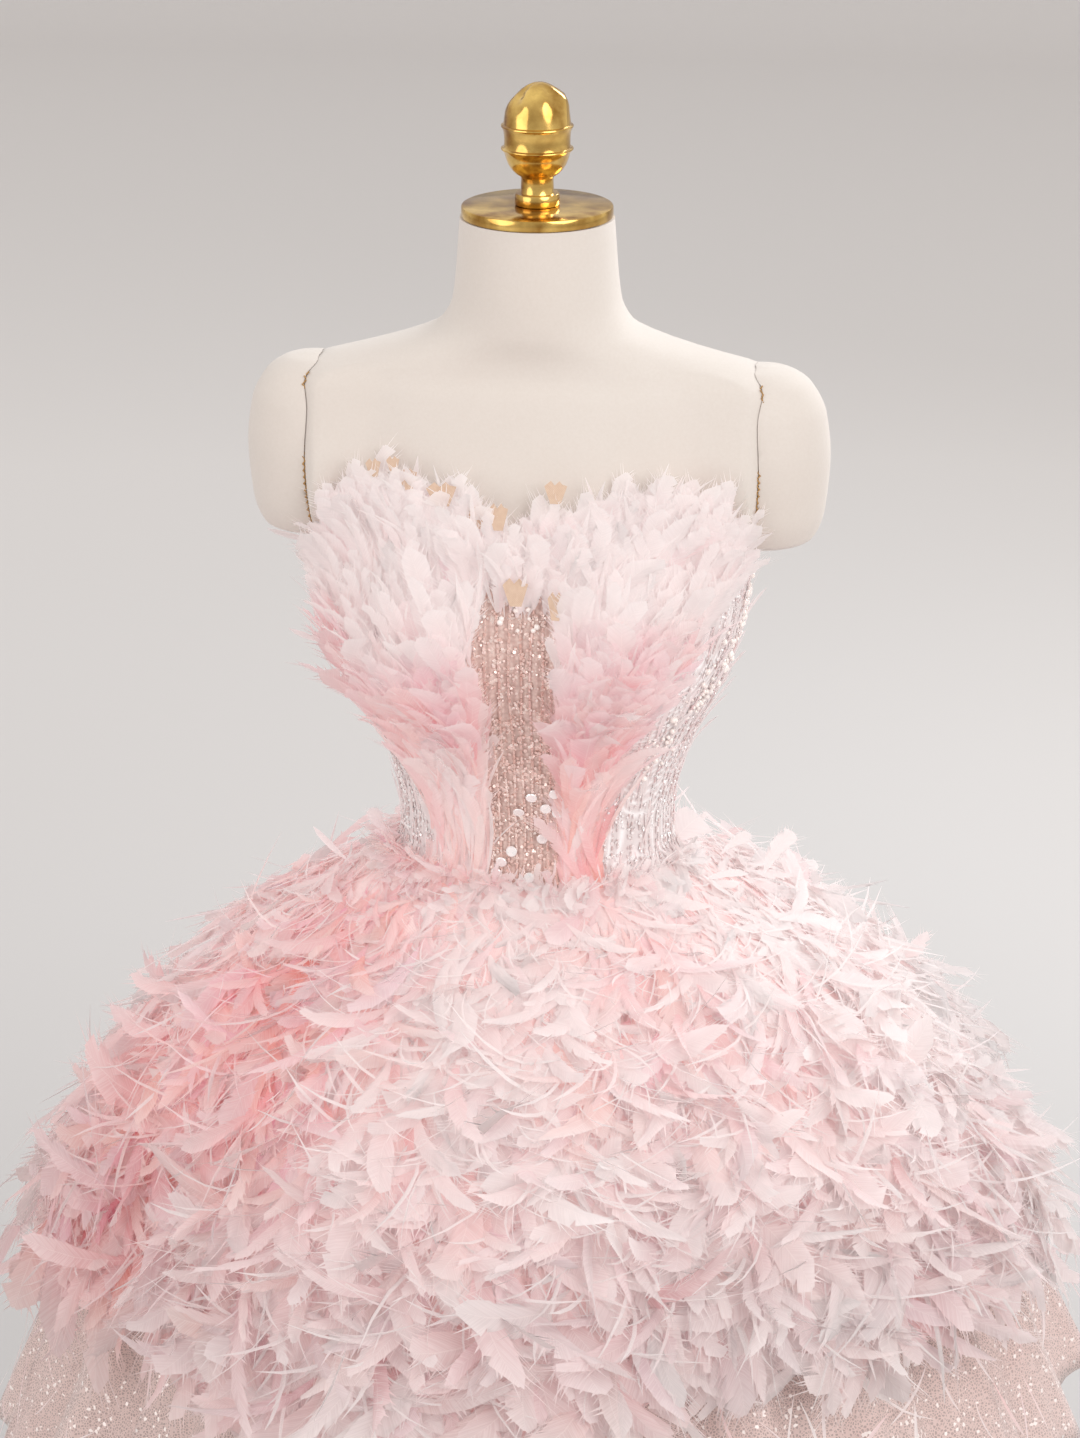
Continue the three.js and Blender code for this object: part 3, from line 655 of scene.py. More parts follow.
def shoulder_cap(name, side, node):
    """A padded canvas cap that hugs the side of the torso."""
    columns, rows = 64, 60
    turn = np.linspace(0, 2 * np.pi, columns, endpoint=False)[:, None]
    share = np.linspace(0, 1, rows)[None, :]
    up = 246 + 146 * (0.5 - 0.5 * np.cos(np.pi * share)) ** 0.95
    turn, up = np.broadcast_arrays(turn, up)
    x = CAP_AXIS + curve(CAP, "up", up, "out") * np.cos(turn)
    y = curve(CAP, "up", up, "deep") * np.sin(turn)
    side_turn = np.linspace(0, np.pi, SIDE_POINTS)
    wall = np.empty_like(x)
    for row in range(rows):
        section = form_point(side_turn, np.full(SIDE_POINTS, up[0, row]))
        wall[:, row] = np.interp(y[:, row], section[:, 1], section[:, 0]) + ARMHOLE_GAP
    points = np.stack([side * np.maximum(x, wall), y, WAIST + up], axis=-1)
    ends = np.array([points[:, 0].mean(0), points[:, -1].mean(0)])
    canvas_body(name, node, points, ends, side < 0)


torso()
shoulder_cap("right_shoulder_pad", 1, "shoulder_cap_right")
shoulder_cap("left_shoulder_pad", -1, "shoulder_cap_left")

PLATE_FOOT = WAIST + 505.3
FINIAL_FOOT = PLATE_FOOT + 9.3
settle(turned("neck_plate_rounded", [
    (57.6, 0), (58.6, 0.5), (59, 1.4), (59, 7.4), (58.5, 8.5), (57.4, 9), (22, 9),
], PLATE_FOOT, 128), BRASS, "gold", "neck_plate")

FINIAL = [
    (16.8, 0), (17.4, 0.7), (17.4, 8.2), (16.8, 9), (13.2, 9.2), (12.8, 10), (12.6, 21), (13.2, 22.2),
    (16.8, 24.4), (20.4, 28), (22.8, 32), (24.4, 36.6), (25.4, 40.4), (27.4, 42.6), (28, 43.3), (27.8, 44),
    (26, 44.8), (25.5, 47), (25.5, 52), (26, 57), (27.5, 60), (28, 60.8), (27.8, 61.6), (26, 62.4),
    (25.6, 66), (24.8, 72), (23.6, 77), (21.6, 81), (18.4, 85), (14.4, 88.6),
    (10, 91.6), (6, 93.4), (2, 94.4),
]


def crumpled_bud():
    """The brass bud: a turned stem and lips, with a dented, folded top."""
    piece = turned("brass_bud", FINIAL, FINIAL_FOOT, 72, 45)
    points = np.empty(len(piece.data.vertices) * 3)
    piece.data.vertices.foreach_get("co", points)
    points = points.reshape(-1, 3) / MM
    above = np.clip((points[:, 2] - FINIAL_FOOT - 74) / 10, 0, 1)
    turn = np.arctan2(points[:, 1], points[:, 0])
    dent = np.sin(3 * turn + 0.7) * 0.07 + np.sin(7 * turn + points[:, 2] / 4) * 0.05
    dent += np.maximum(np.sin(2 * turn - 0.9 + points[:, 2] / 9), 0) ** 6 * -0.16
    points[:, :2] *= (1 + dent * above)[:, None]
    points[:, 0] += 2.2 * above ** 2
    piece.data.vertices.foreach_set("co", (points * MM).ravel())
    piece.data.update()
    return settle(piece, BRASS, "gold", "finial")


crumpled_bud()
settle(turned("stand_pole", [
    (14.4, 0), (15, 0.6), (15, 802.8), (14.4, 803.4),
], 14.3, 64), BRASS, "gold", "pole")
settle(turned("stand_base", [
    (172, 0), (175, 1.5), (175, 7), (173.5, 10.4), (169, 12.9), (160, 13.8), (36, 14), (33, 15.4), (30.5, 21),
    (27.5, 31), (26, 35), (24, 36), (15.7, 36), (15.7, 14.1),
], 0, 160), BRASS, "gold", "base")


# ---- Bodice, overskirt and tulle ----

PANELS = [
    # node, from and to in degrees round the body, flat width and length in metres, material, slot
    ("bodice_front_centre", -15, 15, (0.070, 0.330), SEQUINNED, "sequinned_net"),
    ("bodice_front_right", 15, 60, (0.118, 0.345), SILVERY, "twill"),
    ("bodice_side_right", 60, 105, (0.080, 0.300), SILVERY, "twill"),
    ("bodice_back_right", 105, 177, (0.142, 0.235), SILVERY, "twill"),
    ("back_zip", 177, 183, (0.015, 0.195), TWILL, "twill"),
    ("bodice_back_left", 183, 255, (0.142, 0.235), SILVERY, "twill"),
    ("bodice_side_left", 255, 300, (0.080, 0.300), SILVERY, "twill"),
    ("bodice_front_left", 300, 345, (0.118, 0.345), SILVERY, "twill"),
]


def bodice_panel(node, start, end, flat, material, slot):
    inset = SEAM / 2 / BODICE_RADIUS * 180 / math.pi
    columns = max(int((end - start) / 1.5), 4) + 1
    angle = np.radians(np.linspace(start + inset, end - inset, columns))[:, None]
    share = np.linspace(0, 1, 64)[None, :]
    up = BODICE_BOTTOM + share * (top_edge(angle) - BODICE_BOTTOM)
    angle, up, share = np.broadcast_arrays(angle, up, share)
    edge = np.minimum(np.abs(np.degrees(angle) - start), np.abs(end - np.degrees(angle)))
    seam = 0.5 * np.exp(-((edge - 1.2) / 0.8) ** 2) * (end - start > 20)
    binding = 0.7 * np.exp(-((1 - share) * 250 / 3.5) ** 2)
    inner = off_body(angle, up, np.full(up.shape, BODY_CLEAR))
    outer = off_body(angle, up, BODY_CLEAR + CLOTH * 0.8 + seam + binding)
    piece = sheet_mesh(node + "_cloth", inner, outer, False)
    smooth_by_angle(piece, 60)
    settle(piece, material, slot, node)


for panel in PANELS:
    bodice_panel(*panel)


def overskirt_panel(name, k):
    angle = np.radians(np.linspace(VALLEYS[k] + 0.08, VALLEYS[k + 1] - 0.08, 41))[:, None]
    along = HEM_ALONG * (np.linspace(0, 1, 36) ** 1.3)[None, :]
    angle, along = np.broadcast_arrays(angle, along)
    normal = overskirt_normal(angle, along)
    ruffle = 1.6 * np.sin(angle * 60 + along / 50) * np.clip(along / 200, 0, 1) ** 2
    inner = overskirt_point(angle, along) + normal * (ruffle + 0.3)[..., None]
    outer = inner + normal * (CLOTH * 0.7)
    piece = sheet_mesh(f"overskirt_{name}_cloth", inner, outer, False)
    settle(piece, BLUSH, "blush_cloth", f"overskirt_{name}")


for number, name in enumerate(("front", "right", "back_right", "back_left", "left")):
    overskirt_panel(name, number)


def tulle_layer(which, layer, waves, seed):
    """One gathered tulle skirt, its waves of uneven width and depth."""
    columns = waves * 14
    even = np.linspace(0, 2 * np.pi, columns, endpoint=False)[:, None]
    angle = even + 0.03 * np.sin(3 * even) + 0.012 * np.sin(7 * even + 1)
    drop = np.linspace(layer["drop"][0], layer["drop"][-1], 34)[None, :]
    angle, drop, even = np.broadcast_arrays(angle, drop, even)
    depths = np.random.default_rng(seed).uniform(0.55, 1.15, waves)
    number = (even / (2 * np.pi) * waves).astype(int) % waves
    pull = curve(layer, "drop", drop, "gather")
    wave = np.cos(even * waves) * pull * depths[number]
    wave = wave + 0.22 * pull * np.sin(even * waves * 2.5 + drop / 60)
    inner = skirt_point(layer, angle, drop, wave)
    outer = skirt_point(layer, angle, drop, wave + TULLE_WALL * 0.7)
    piece = sheet_mesh(f"{which}_tulle_skirt", inner, outer, True)
    settle(piece, TULLE, "tulle", *(f"tulle_{which}_{k}" for k in range(1, 7)))


tulle_layer("outer", OUTER_TULLE, 24, 11)
tulle_layer("inner", INNER_TULLE, 12, 12)


# ---- Feathers ----

SPANS = 5  # steps from the root of a feather to its tip


def feather_shape(seed, widest, blunt, slant, split, ragged, barbs):
    """One flat feather of unit length and unit half width: a quill with a vane each side.

    Gives its points as along, aside, down and reach, which is 0 on the quill and 1 at the edge, then its
    triangles, then how light each point is, as painted light and shade: darker on the quill and on sunk
    flaps, lighter at the edges and on lifted flaps. widest moves the broadest place towards the tip and blunt
    rounds both ends. slant sweeps the vane forward, split is how often it parts and ragged how uneven its
    edge is. barbs is how many loose hairs each span has: with none, the vane is a single strip.
    """
    draw = np.random.default_rng(seed)
    spans = SPANS
    quill = np.linspace(0, 1, spans + 1)
    breadth = np.maximum(np.sin(np.pi * quill ** widest), 0.015) ** blunt
    points = [(a, 0.0, 0.0, 0.0) for a in quill]
    # Painted light and shade for each point: a little darker on the quill, lighter at the edges and barb
    # tips.
    light = [0.97] * (spans + 1)
    faces = []

    def add(along, aside, down, painted_shading, reach=1.0):
        points.append((along, aside, down, reach))
        light.append(painted_shading)
        return len(points) - 1

    for side in (-1, 1):
        uneven = 1 + ragged * draw.uniform(-1, 0.7, spans + 1)
        if barbs:
            inner = [add(a + slant * w * 0.45, side * w * 0.55, 0.0, 1.0, 0.55)
                     for a, w in zip(quill, breadth)]
        before = None
        for k in range(spans + 1):
            along = quill[k] + slant * breadth[k] + 0.5 * ragged * draw.uniform(-0.06, 0.06)
            aside = side * breadth[k] * uneven[k]
            after = before_next = add(along, aside, 0.0, 1.03)
            if 0 < k < spans and draw.uniform() < split:
                # Where the vane parts, the sunk flap is painted darker and the lifted flap lighter: painted
                # shade and light.
                apart = draw.uniform(0.02, 0.05)
                after = add(along - apart, aside * 0.94, draw.uniform(0.1, 0.5), 0.96)
                before_next = add(along + apart, aside * 1.04, draw.uniform(-0.4, 0), 1.05)
            if before is not None:
                j = k - 1
                if barbs:
                    quads = (j, inner[j], inner[k], k), (inner[j], before, after, inner[k])
                else:
                    quads = (j, before, after, k),
                for corner in quads:
                    a, b, c, d = corner if side > 0 else corner[::-1]
                    faces += [(a, b, c), (a, c, d)]
                for number in range(barbs if k > 1 else 0):
                    place = (number + draw.uniform(0.1, 0.9)) / barbs
                    foot = np.array(points[before]) * (1 - place) + np.array(points[after]) * place
                    hair = draw.uniform(0.15, 0.7)
                    low = add(foot[0] - 0.012, foot[1] * 0.9, foot[2], 1.0)
                    high = add(foot[0] + 0.012, foot[1] * 0.9, foot[2], 1.0)
                    tip = add(foot[0] + hair * draw.uniform(0.15, 0.4), foot[1] + side * hair,
                              foot[2] + draw.uniform(-0.4, 0.4), 1.03)
                    faces.append((low, tip, high) if side > 0 else (low, high, tip))
            before = before_next
    return np.array(points), np.array(faces), np.array(light)


PETALS = [feather_shape(seed, 1.7, 0.5, 0.08, 0.45, 0.16, 3) for seed in range(1, 9)]
PLUMES = [feather_shape(seed, 1.45, 0.6, 0.12, 0.5, 0.18, 3) for seed in range(21, 28)]
WISPS = [feather_shape(seed, 1.3, 0.6, 0.02, 0.0, 0.10, 0) for seed in range(31, 35)]

DOWN_WHITE = 0.76  # how much light the whitest down gives back
VANE_APART = 131.0  # from one feather's streaks to the next one's, so that no two are alike


def laid_feathers(draw, shapes, root, ahead, outward, length, width, curl, tilt, cup, twist, sweep, colours):
    """Copies of the shapes at their roots, pointing ahead, as points, triangles, colours, vanes and normals.

    tilt lifts a feather off the cloth, curl bends it, cup dishes it, twist rolls it and sweep draws it aside.
    """
    count = len(length)
    aside = unit(np.cross(ahead, outward))
    curl = np.where(np.abs(curl) < 0.02, 0.02, curl)
    pick = draw.integers(0, len(shapes), count)
    all_points, all_faces, all_colours, vanes, facings, start = [], [], [], [], [], 0
    for number, (shape, faces, light) in enumerate(shapes):
        which = np.nonzero(pick == number)[0]
        if not len(which):
            continue
        a, s, d, reach = (shape[:, k][None] for k in range(4))
        size, half, bend, first, hollow, roll, swept = (
            values[which][:, None] for values in (length, width / 2, curl, tilt, cup, twist, sweep))
        foot, forth, off, beside = (
            vectors[which][:, None, :] for vectors in (root, ahead, outward, aside))
        turn = first + bend * a
        forward = size * (np.sin(turn) - np.sin(first)) / bend
        rise = -size * (np.cos(turn) - np.cos(first)) / bend
        rolled = roll * a
        across = half * s
        dish = -hollow * half * np.abs(s) ** 1.7 - half * d * 0.5
        level = across * np.cos(rolled) - dish * np.sin(rolled)
        raised = across * np.sin(rolled) + dish * np.cos(rolled)
        drift = swept * size * a ** 2
        along = forward - raised * np.sin(turn)
        out = rise + raised * np.cos(turn)
        points = foot + forth * along[..., None] + off * out[..., None] + beside * (level + drift)[..., None]
        per = len(shape)
        offsets = start + np.arange(len(which)) * per
        all_faces.append((faces[None] + offsets[:, None, None]).reshape(-1, 3))
        all_points.append(points.reshape(-1, 3))
        ends = np.clip(a, 0, 1)[..., None]
        paler = 1 - (1 - colours[which][:, None, :]) * (1.5 - 0.9 * ends)
        # Each point's painted light and shade from its shape is multiplied into the feather's colour here.
        shaded = np.clip(paler * light[None, :, None], 0, 1) * DOWN_WHITE
        all_colours.append(shaded.reshape(-1, 3))
        streak = size * a + which[:, None] * VANE_APART
        vane = np.stack(np.broadcast_arrays(streak, half * np.abs(s), reach), -1)
        vanes.append(vane.reshape(-1, 3))
        facing = (off * np.cos(turn * 0.5)[..., None] - forth * np.sin(turn * 0.5)[..., None]
                  + beside * (0.28 * s)[..., None])
        facings.append(unit(facing).reshape(-1, 3))
        start += per * len(which)
    return tuple(np.concatenate(part) for part in (all_points, all_faces, all_colours, vanes, facings))


def feather_piece(name, parts, *nodes):
    start = np.cumsum([0] + [len(part[0]) for part in parts])
    faces = np.concatenate([part[1] + first for part, first in zip(parts, start)])
    points, colours, vanes, facings = (np.concatenate([part[k] for part in parts]) for k in (0, 2, 3, 4))
    piece = mesh_object(name, points, faces)
    piece.data.normals_split_custom_set_from_vertices(facings)
    paint(piece, "tint", "FLOAT_COLOR", np.column_stack([colours, np.ones(len(colours))]))
    paint(piece, "vane", "FLOAT_VECTOR", vanes)
    return settle(piece, FEATHER, "pink_feather", *nodes)


DYES = np.array([rgb(*swatch)[:3] for swatch in (
    (255, 252, 252), (254, 233, 233), (250, 158, 170), (248, 168, 202), (255, 178, 156),
)])  # white, blush, pink, lilac pink, peach


def dyed(draw, whiteness, peach):
    """A colour for each feather: white where whiteness is 1, strong pink or peach where it is 0."""
    count = len(whiteness)
    strength = np.clip(1 - whiteness + draw.normal(0, 0.12, count), 0, 1)
    warm = np.clip(peach + draw.normal(0, 0.2, count), 0, 0.85)[:, None]
    lilac = np.clip(0.36 + draw.normal(0, 0.25, count), 0, 1)[:, None] * (1 - warm)
    strong = warm * DYES[4] + lilac * DYES[3] + (1 - warm - lilac) * DYES[2]
    blush = draw.uniform(0, 0.25, count)[:, None]
    pale = DYES[0] * (1 - blush) + DYES[1] * blush
    return pale * (1 - strength[:, None]) + strong * strength[:, None]


def turned_aside(ahead, outward, yaw):
    """The directions ahead, turned about the outward ones."""
    aside = np.cross(outward, ahead)
    return unit(ahead * np.cos(yaw)[:, None] + aside * np.sin(yaw)[:, None])


def spread_angles(draw, count):
    return (np.arange(count) + draw.uniform(0, 1, count)) / count * 2 * np.pi


SKIRT_TIERS = [
    # name, from and to down the skirt, feathers, length, how steeply they stand off
    ("skirt_feathers_1", -2, 62, 1060, (30, 54), 0.0),
    ("skirt_feathers_2", 50, 140, 1540, (40, 70), 0.03),
    ("skirt_feathers_3", 128, 222, 1930, (48, 86), 0.08),
    ("skirt_feathers_4", 206, 300, 2100, (50, 90), 0.1),
    ("skirt_feathers_5", 284, 380, 2240, (52, 96), 0.11),
]


def skirt_whiteness(angle, along):
    """How white the skirt's feathers are: white to the right and near the waist, pink to the left."""
    patches = noise_field(angle, along, 5)
    side = np.sin(angle)
    valley = 1 - lobe_shape(angle)
    high = np.clip((150 - along) / 150, 0, 1)
    far = np.clip(-side - 0.86, 0, 0.14) * 2
    return 0.68 + 0.3 * side + far + 0.2 * high - 0.1 * valley + 0.26 * patches


def skirt_tier(node, start, end, count, lengths, slope, seed):
    draw = np.random.default_rng(seed)
    parts = []
    for shapes, share, low, high in (
            (PETALS, 0.28, 0.32, 0.48), (PLUMES, 0.36, 0.18, 0.3), (WISPS, 0.44, 0.03, 0.065)):
        n = int(count * share)
        wild = 1.0 if shapes is WISPS else 0.0
        angle = spread_angles(draw, n)
        along = start + (end - start) * draw.uniform(0, 1, n) ** 0.9
        normal = overskirt_normal(angle, np.maximum(along, 1))
        down = unit(overskirt_point(angle, along + 4) - overskirt_point(angle, np.maximum(along - 4, 0)))
        root = overskirt_point(angle, np.maximum(along, 0)) + normal * draw.uniform(1, 7, n)[:, None]
        length = draw.uniform(*lengths, n) * (1 - (0.1 + 0.25 * np.clip(1 - along / 130, 0, 1)) * wild)
        clump = 0.55 * np.sin(angle * 23 + along / 16) + 0.45 * np.sin(angle * 11 - along / 23 + seed)
        swell = np.sin(angle * 19 + along / 40) * np.sin(along / 15 + 2 * np.sin(angle * 7))
        swell = swell * np.clip(along / 80, 0, 1)
        root = root + normal * (4 * np.maximum(swell, 0))[:, None]
        yaw = 0.8 * clump + draw.normal(0, 0.36 + 0.2 * wild, n)
        ahead = turned_aside(down, normal, yaw)
        stand = slope + 0.14 * np.maximum(np.sin(angle), 0) * np.clip((along - 110) / 80, 0, 1)
        stand = stand - 0.1 * (1 - np.cos(angle)) * np.clip(1 - along / 110, 0, 1)
        tilt = np.clip(stand + 0.1 * swell + draw.normal(0, 0.07, n) + 0.06 * wild, -0.08, 0.42)
        calm = np.clip(along / 130, 0.3, 1)
        # Painted shade: feathers low on the skirt are coloured darker, as if less light reached them.
        painted_shading = 1 - 0.22 * np.clip((along - 210) / 130, 0, 1)
        facing = np.clip(np.cos(angle), 0, 1) ** 2
        curl = draw.normal(-0.24 + 0.1 * wild, 0.24 + 0.4 * wild, n) * (1 + facing) * calm - 0.2 * (1 - calm)
        curl = np.clip(curl + 0.42 * facing * calm, -1.0, 0.95)
        parts.append(laid_feathers(
            draw, shapes, root, ahead, normal, length, draw.uniform(low, high, n) * length,
            curl, tilt, draw.uniform(0.0, 0.35, n), draw.normal(0, 0.5, n),
            draw.choice([-1, 1], n) * draw.uniform(0.15, 0.95 + 0.3 * wild, n),
            dyed(draw, skirt_whiteness(angle, along) + 0.3 * wild, 0.42) * painted_shading[:, None]))
    return feather_piece(node + "_plumes", parts, node)


for number, tier in enumerate(SKIRT_TIERS):
    skirt_tier(*tier, seed=40 + number)


def over_tulle(angle, drop):
    """Places just clear of the outer tulle's gathers."""
    return skirt_point(OUTER_TULLE, angle, drop, 22.0)


def tulle_quills():
    """Thin strands that hang from the last feathers over the tulle."""
    draw = np.random.default_rng(52)
    n = 150
    angle = spread_angles(draw, n)
    drop = draw.uniform(330, 430, n)
    root = over_tulle(angle, drop)
    down = unit(over_tulle(angle, drop + 4) - over_tulle(angle, drop - 4))
    normal = -surface_normal(over_tulle, angle, drop, 3.0)
    length = np.minimum(draw.uniform(40, 84, n), 486 - drop)
    part = laid_feathers(
        draw, WISPS, root, turned_aside(down, normal, draw.normal(0, 0.5, n)), normal, length,
        draw.uniform(1.4, 3.4, n), draw.normal(-0.2, 0.2, n), draw.normal(0.04, 0.05, n),
        draw.uniform(0, 0.2, n), draw.normal(0, 0.3, n), draw.normal(0, 0.4, n),
        dyed(draw, draw.uniform(0.5, 1.1, n), 0.4))
    return feather_piece("tulle_quills", [part])


tulle_quills()


def waist_tufts():
    """Short feathers round the waist seam that hide it: some stand up in front, the rest hang all round."""
    draw = np.random.default_rng(51)
    parts = []
    for shapes, n, low, high in ((PLUMES, 70, 0.2, 0.34), (WISPS, 90, 0.04, 0.09)):
        angle = np.radians(draw.uniform(-78, 78, n))
        normal = body_normal(angle, np.full(n, BODICE_BOTTOM))
        root = off_body(angle, BODICE_BOTTOM + draw.uniform(-4, 3, n), CLOTH + 2 + draw.uniform(0, 5, n))
        upward = np.tile([0.0, 0.0, 1.0], (n, 1))
        ahead = turned_aside(upward, normal, draw.normal(0, 0.6, n))
        length = draw.uniform(14, 28, n)
        tilt = draw.uniform(0.2, 1.0, n)
        parts.append(laid_feathers(
            draw, shapes, root, ahead, normal, length, draw.uniform(low, high, n) * length,
            draw.normal(0.5, 0.5, n), tilt, draw.uniform(0, 0.4, n), draw.normal(0, 0.4, n),
            draw.normal(0, 0.3, n), dyed(draw, 0.7 + 0.35 * np.sin(angle), 0.4)))
    for shapes, n, low, high in ((PLUMES, 380, 0.18, 0.32), (WISPS, 160, 0.04, 0.08)):
        angle = spread_angles(draw, n)
        normal = body_normal(angle, np.full(n, BODICE_BOTTOM))
        root = off_body(angle, BODICE_BOTTOM + draw.uniform(0, 12, n), CLOTH + 1.6 + draw.uniform(0, 2, n))
        downward = np.tile([0.0, 0.0, -1.0], (n, 1))
        ahead = turned_aside(downward, normal, draw.normal(0, 0.5, n))
        length = draw.uniform(26, 46, n)
        parts.append(laid_feathers(
            draw, shapes, root, ahead, normal, length, draw.uniform(low, high, n) * length,
            draw.normal(0.5, 0.15, n), draw.uniform(0.35, 0.6, n), draw.uniform(0, 0.3, n),
            draw.normal(0, 0.4, n), draw.normal(0, 0.3, n), dyed(draw, skirt_whiteness(angle, 10.0), 0.42)))
    return feather_piece("waist_tufts", parts)


waist_tufts()

BODICE_BAND = table("up start right left", [
    (-34, 15, 32, 44), (10, 15, 31, 44), (60, 15, 32, 53), (92, 14, 35, 66), (130, 14, 42, 79),
    (152, 13, 47, 81), (180, 13, 54, 82), (206, 12, 58, 79), (235, 10, 59, 73), (262, 9, 52, 56),
])
BUST_BLUSH = table("angle up wide tall deep", [
    (40, 218, 8, 16, 0.6), (-58, 212, 11, 18, 0.5), (-62, 140, 12, 22, 0.55), (30, 150, 8, 20, 0.4),
    (46, 150, 9, 18, 0.45), (-24, 118, 8, 26, 0.3),
])


def bodice_side(name, side, seed):
    """Feathers that fan up and outward from the waist, along the princess seams, over the bust."""
    draw = np.random.default_rng(seed)
    parts = []
    for shapes, n, low, high in (
            (PETALS, 220, 0.24, 0.36), (PLUMES, 460, 0.13, 0.22), (WISPS, 360, 0.03, 0.06)):
        up = -34 + 296 * (np.arange(n) + draw.uniform(0, 1, n)) / n
        share = draw.uniform(0, 1, n)
        first, last = curve(BODICE_BAND, "up", up, "start"), curve(BODICE_BAND, "up", up, name)
        angle = side * np.radians(first + (last - first) * share)
        up = np.minimum(up, top_edge(angle) - draw.uniform(44, 72, n))
        root, _, upward, normal = on_bodice(angle, up, draw.uniform(0.3, 3, n))
        reach = 0.34 if side < 0 else 0.24
        lean = -side * (0.03 + reach * share * np.clip((up - 20) / 130, 0, 1)) + draw.normal(0, 0.13, n)
        ahead = turned_aside(upward, normal, lean)
        bust = np.clip(up / 150, 0, 1)
        length = draw.uniform(50, 88, n) * (1.2 - 0.35 * bust)
        broad = (0.75 + 0.55 * bust) * draw.uniform(low, high, n)
        tilt = 0.03 + 0.05 * bust * (1 - 0.6 * share) + draw.normal(0, 0.03, n)
        whiteness = 0.5 + 0.68 * np.clip((up - 92) / 105, 0, 1) + 0.12 * np.clip(1 - up / 80, 0, 1)
        whiteness = whiteness + 0.12 * share + 0.26 * noise_field(angle, up, 7)
        for patch in zip(*BUST_BLUSH.values()):
            apart = ((np.degrees(angle) - patch[0]) / patch[2]) ** 2 + ((up - patch[1]) / patch[3]) ** 2
            whiteness = whiteness - patch[4] * np.exp(-apart)
        parts.append(laid_feathers(
            draw, shapes, root, ahead, normal, length, broad * length,
            draw.normal(0.05, 0.3, n), tilt, draw.uniform(0.0, 0.35, n), draw.normal(0, 0.35, n),
            draw.normal(0, 0.16, n), dyed(draw, whiteness, np.clip(0.6 - up / 260, 0.1, 0.6))))
    nodes = [f"bodice_feathers_{name}_{k}" for k in range(1, 6)]
    return feather_piece(f"bodice_plumes_{name}", parts, *nodes)


bodice_side("right", 1, 61)
bodice_side("left", -1, 62)


def side_strands():
    """Narrow white strips of feather laid upright on the sides and the back of the bodice."""
    draw = np.random.default_rng(63)
    n = 760
    angle = np.radians(draw.uniform(30, 174, n) * draw.choice([-1, 1], n))
    up = BODICE_BOTTOM + (top_edge(angle) - 22) * draw.uniform(0, 1, n) ** 0.9
    length = np.minimum(draw.uniform(24, 58, n), top_edge(angle) + 4 - up)
    root, _, upward, normal = on_bodice(angle, up, draw.uniform(0, 1.2, n))
    part = laid_feathers(
        draw, WISPS, root, turned_aside(upward, normal, draw.normal(0, 0.1, n)), normal, length,
        draw.uniform(1.6, 5, n), draw.normal(0, 0.2, n), np.abs(draw.normal(0.03, 0.05, n)),
        draw.uniform(0, 0.3, n),
        draw.normal(0, 0.4, n), draw.normal(0, 0.1, n), dyed(draw, draw.uniform(0.75, 1.1, n), 0.2))
    return feather_piece("side_strands", [part])


side_strands()


def neckline_plumes():
    """White feathers that stand up along the top edge."""
    draw = np.random.default_rng(71)
    parts = []
    for shapes, n, low, high in (
            (PETALS, 80, 0.3, 0.48), (PLUMES, 210, 0.17, 0.3), (WISPS, 200, 0.035, 0.08)):
        degrees = -60 + 120 * (np.arange(n) + draw.uniform(0, 1, n)) / n
        angle = np.radians(degrees)
        up = top_edge(angle) - draw.uniform(28, 66, n)
        root, _, upward, normal = on_bodice(angle, up, draw.uniform(0.3, 3, n))
        ahead = turned_aside(upward, normal, -0.3 * np.sin(angle) + draw.normal(0, 0.24, n))
        length = draw.uniform(36, 64, n)
        parts.append(laid_feathers(
            draw, shapes, root, ahead, normal, length, draw.uniform(low, high, n) * length,
            draw.normal(0.1, 0.35, n), 0.14 + draw.normal(0, 0.08, n), draw.uniform(0, 0.35, n),
            draw.normal(0, 0.4, n), draw.normal(0, 0.14, n), dyed(draw, 1.1 + 0 * angle, 0.1)))
    piece = feather_piece("neckline_plumes", parts, "neckline_feathers")


neckline_plumes()


def stray_feathers():
    """The few loose feathers that stand well off the dress, at the waist, the side and the bust."""
    draw = np.random.default_rng(91)
    parts = []
    for shapes, x, up, back, aim, length, width in (
            (PETALS, 112, -20, 8, (0.55, -0.1, 1.0), 40, 34),
            (PLUMES, 150, -38, 30, (0.7, 0.1, 0.8), 34, 10),
            (PLUMES, 186, -58, 40, (0.35, 0.0, 1.0), 52, 17),
            (WISPS, 140, -40, -20, (0.8, -0.2, 0.5), 46, 7),
            (WISPS, -176, 236, -6, (-1.0, -0.1, 0.12), 44, 5),
            (PLUMES, -124, -30, 10, (-0.6, -0.1, 0.8), 38, 12),
            (WISPS, -168, 150, -10, (-1.0, -0.1, 0.25), 38, 5),
            (WISPS, -160, -52, 10, (-0.8, -0.1, 0.7), 48, 6)):
        one = np.ones(1)
        ahead = unit(np.array([aim], float))
        outward = unit(np.cross(np.cross(ahead, [[0.1, -1.0, 0.2]]), ahead))
        parts.append(laid_feathers(
            draw, shapes, np.array([[x, back, WAIST + up]], float), ahead, outward, one * length, one * width,
            one * 0.5, one * 0.0, one * 0.2, one * 0.4, one * 0.15, dyed(draw, one * 0.95, 0.2)))
    return feather_piece("stray_feathers", parts)


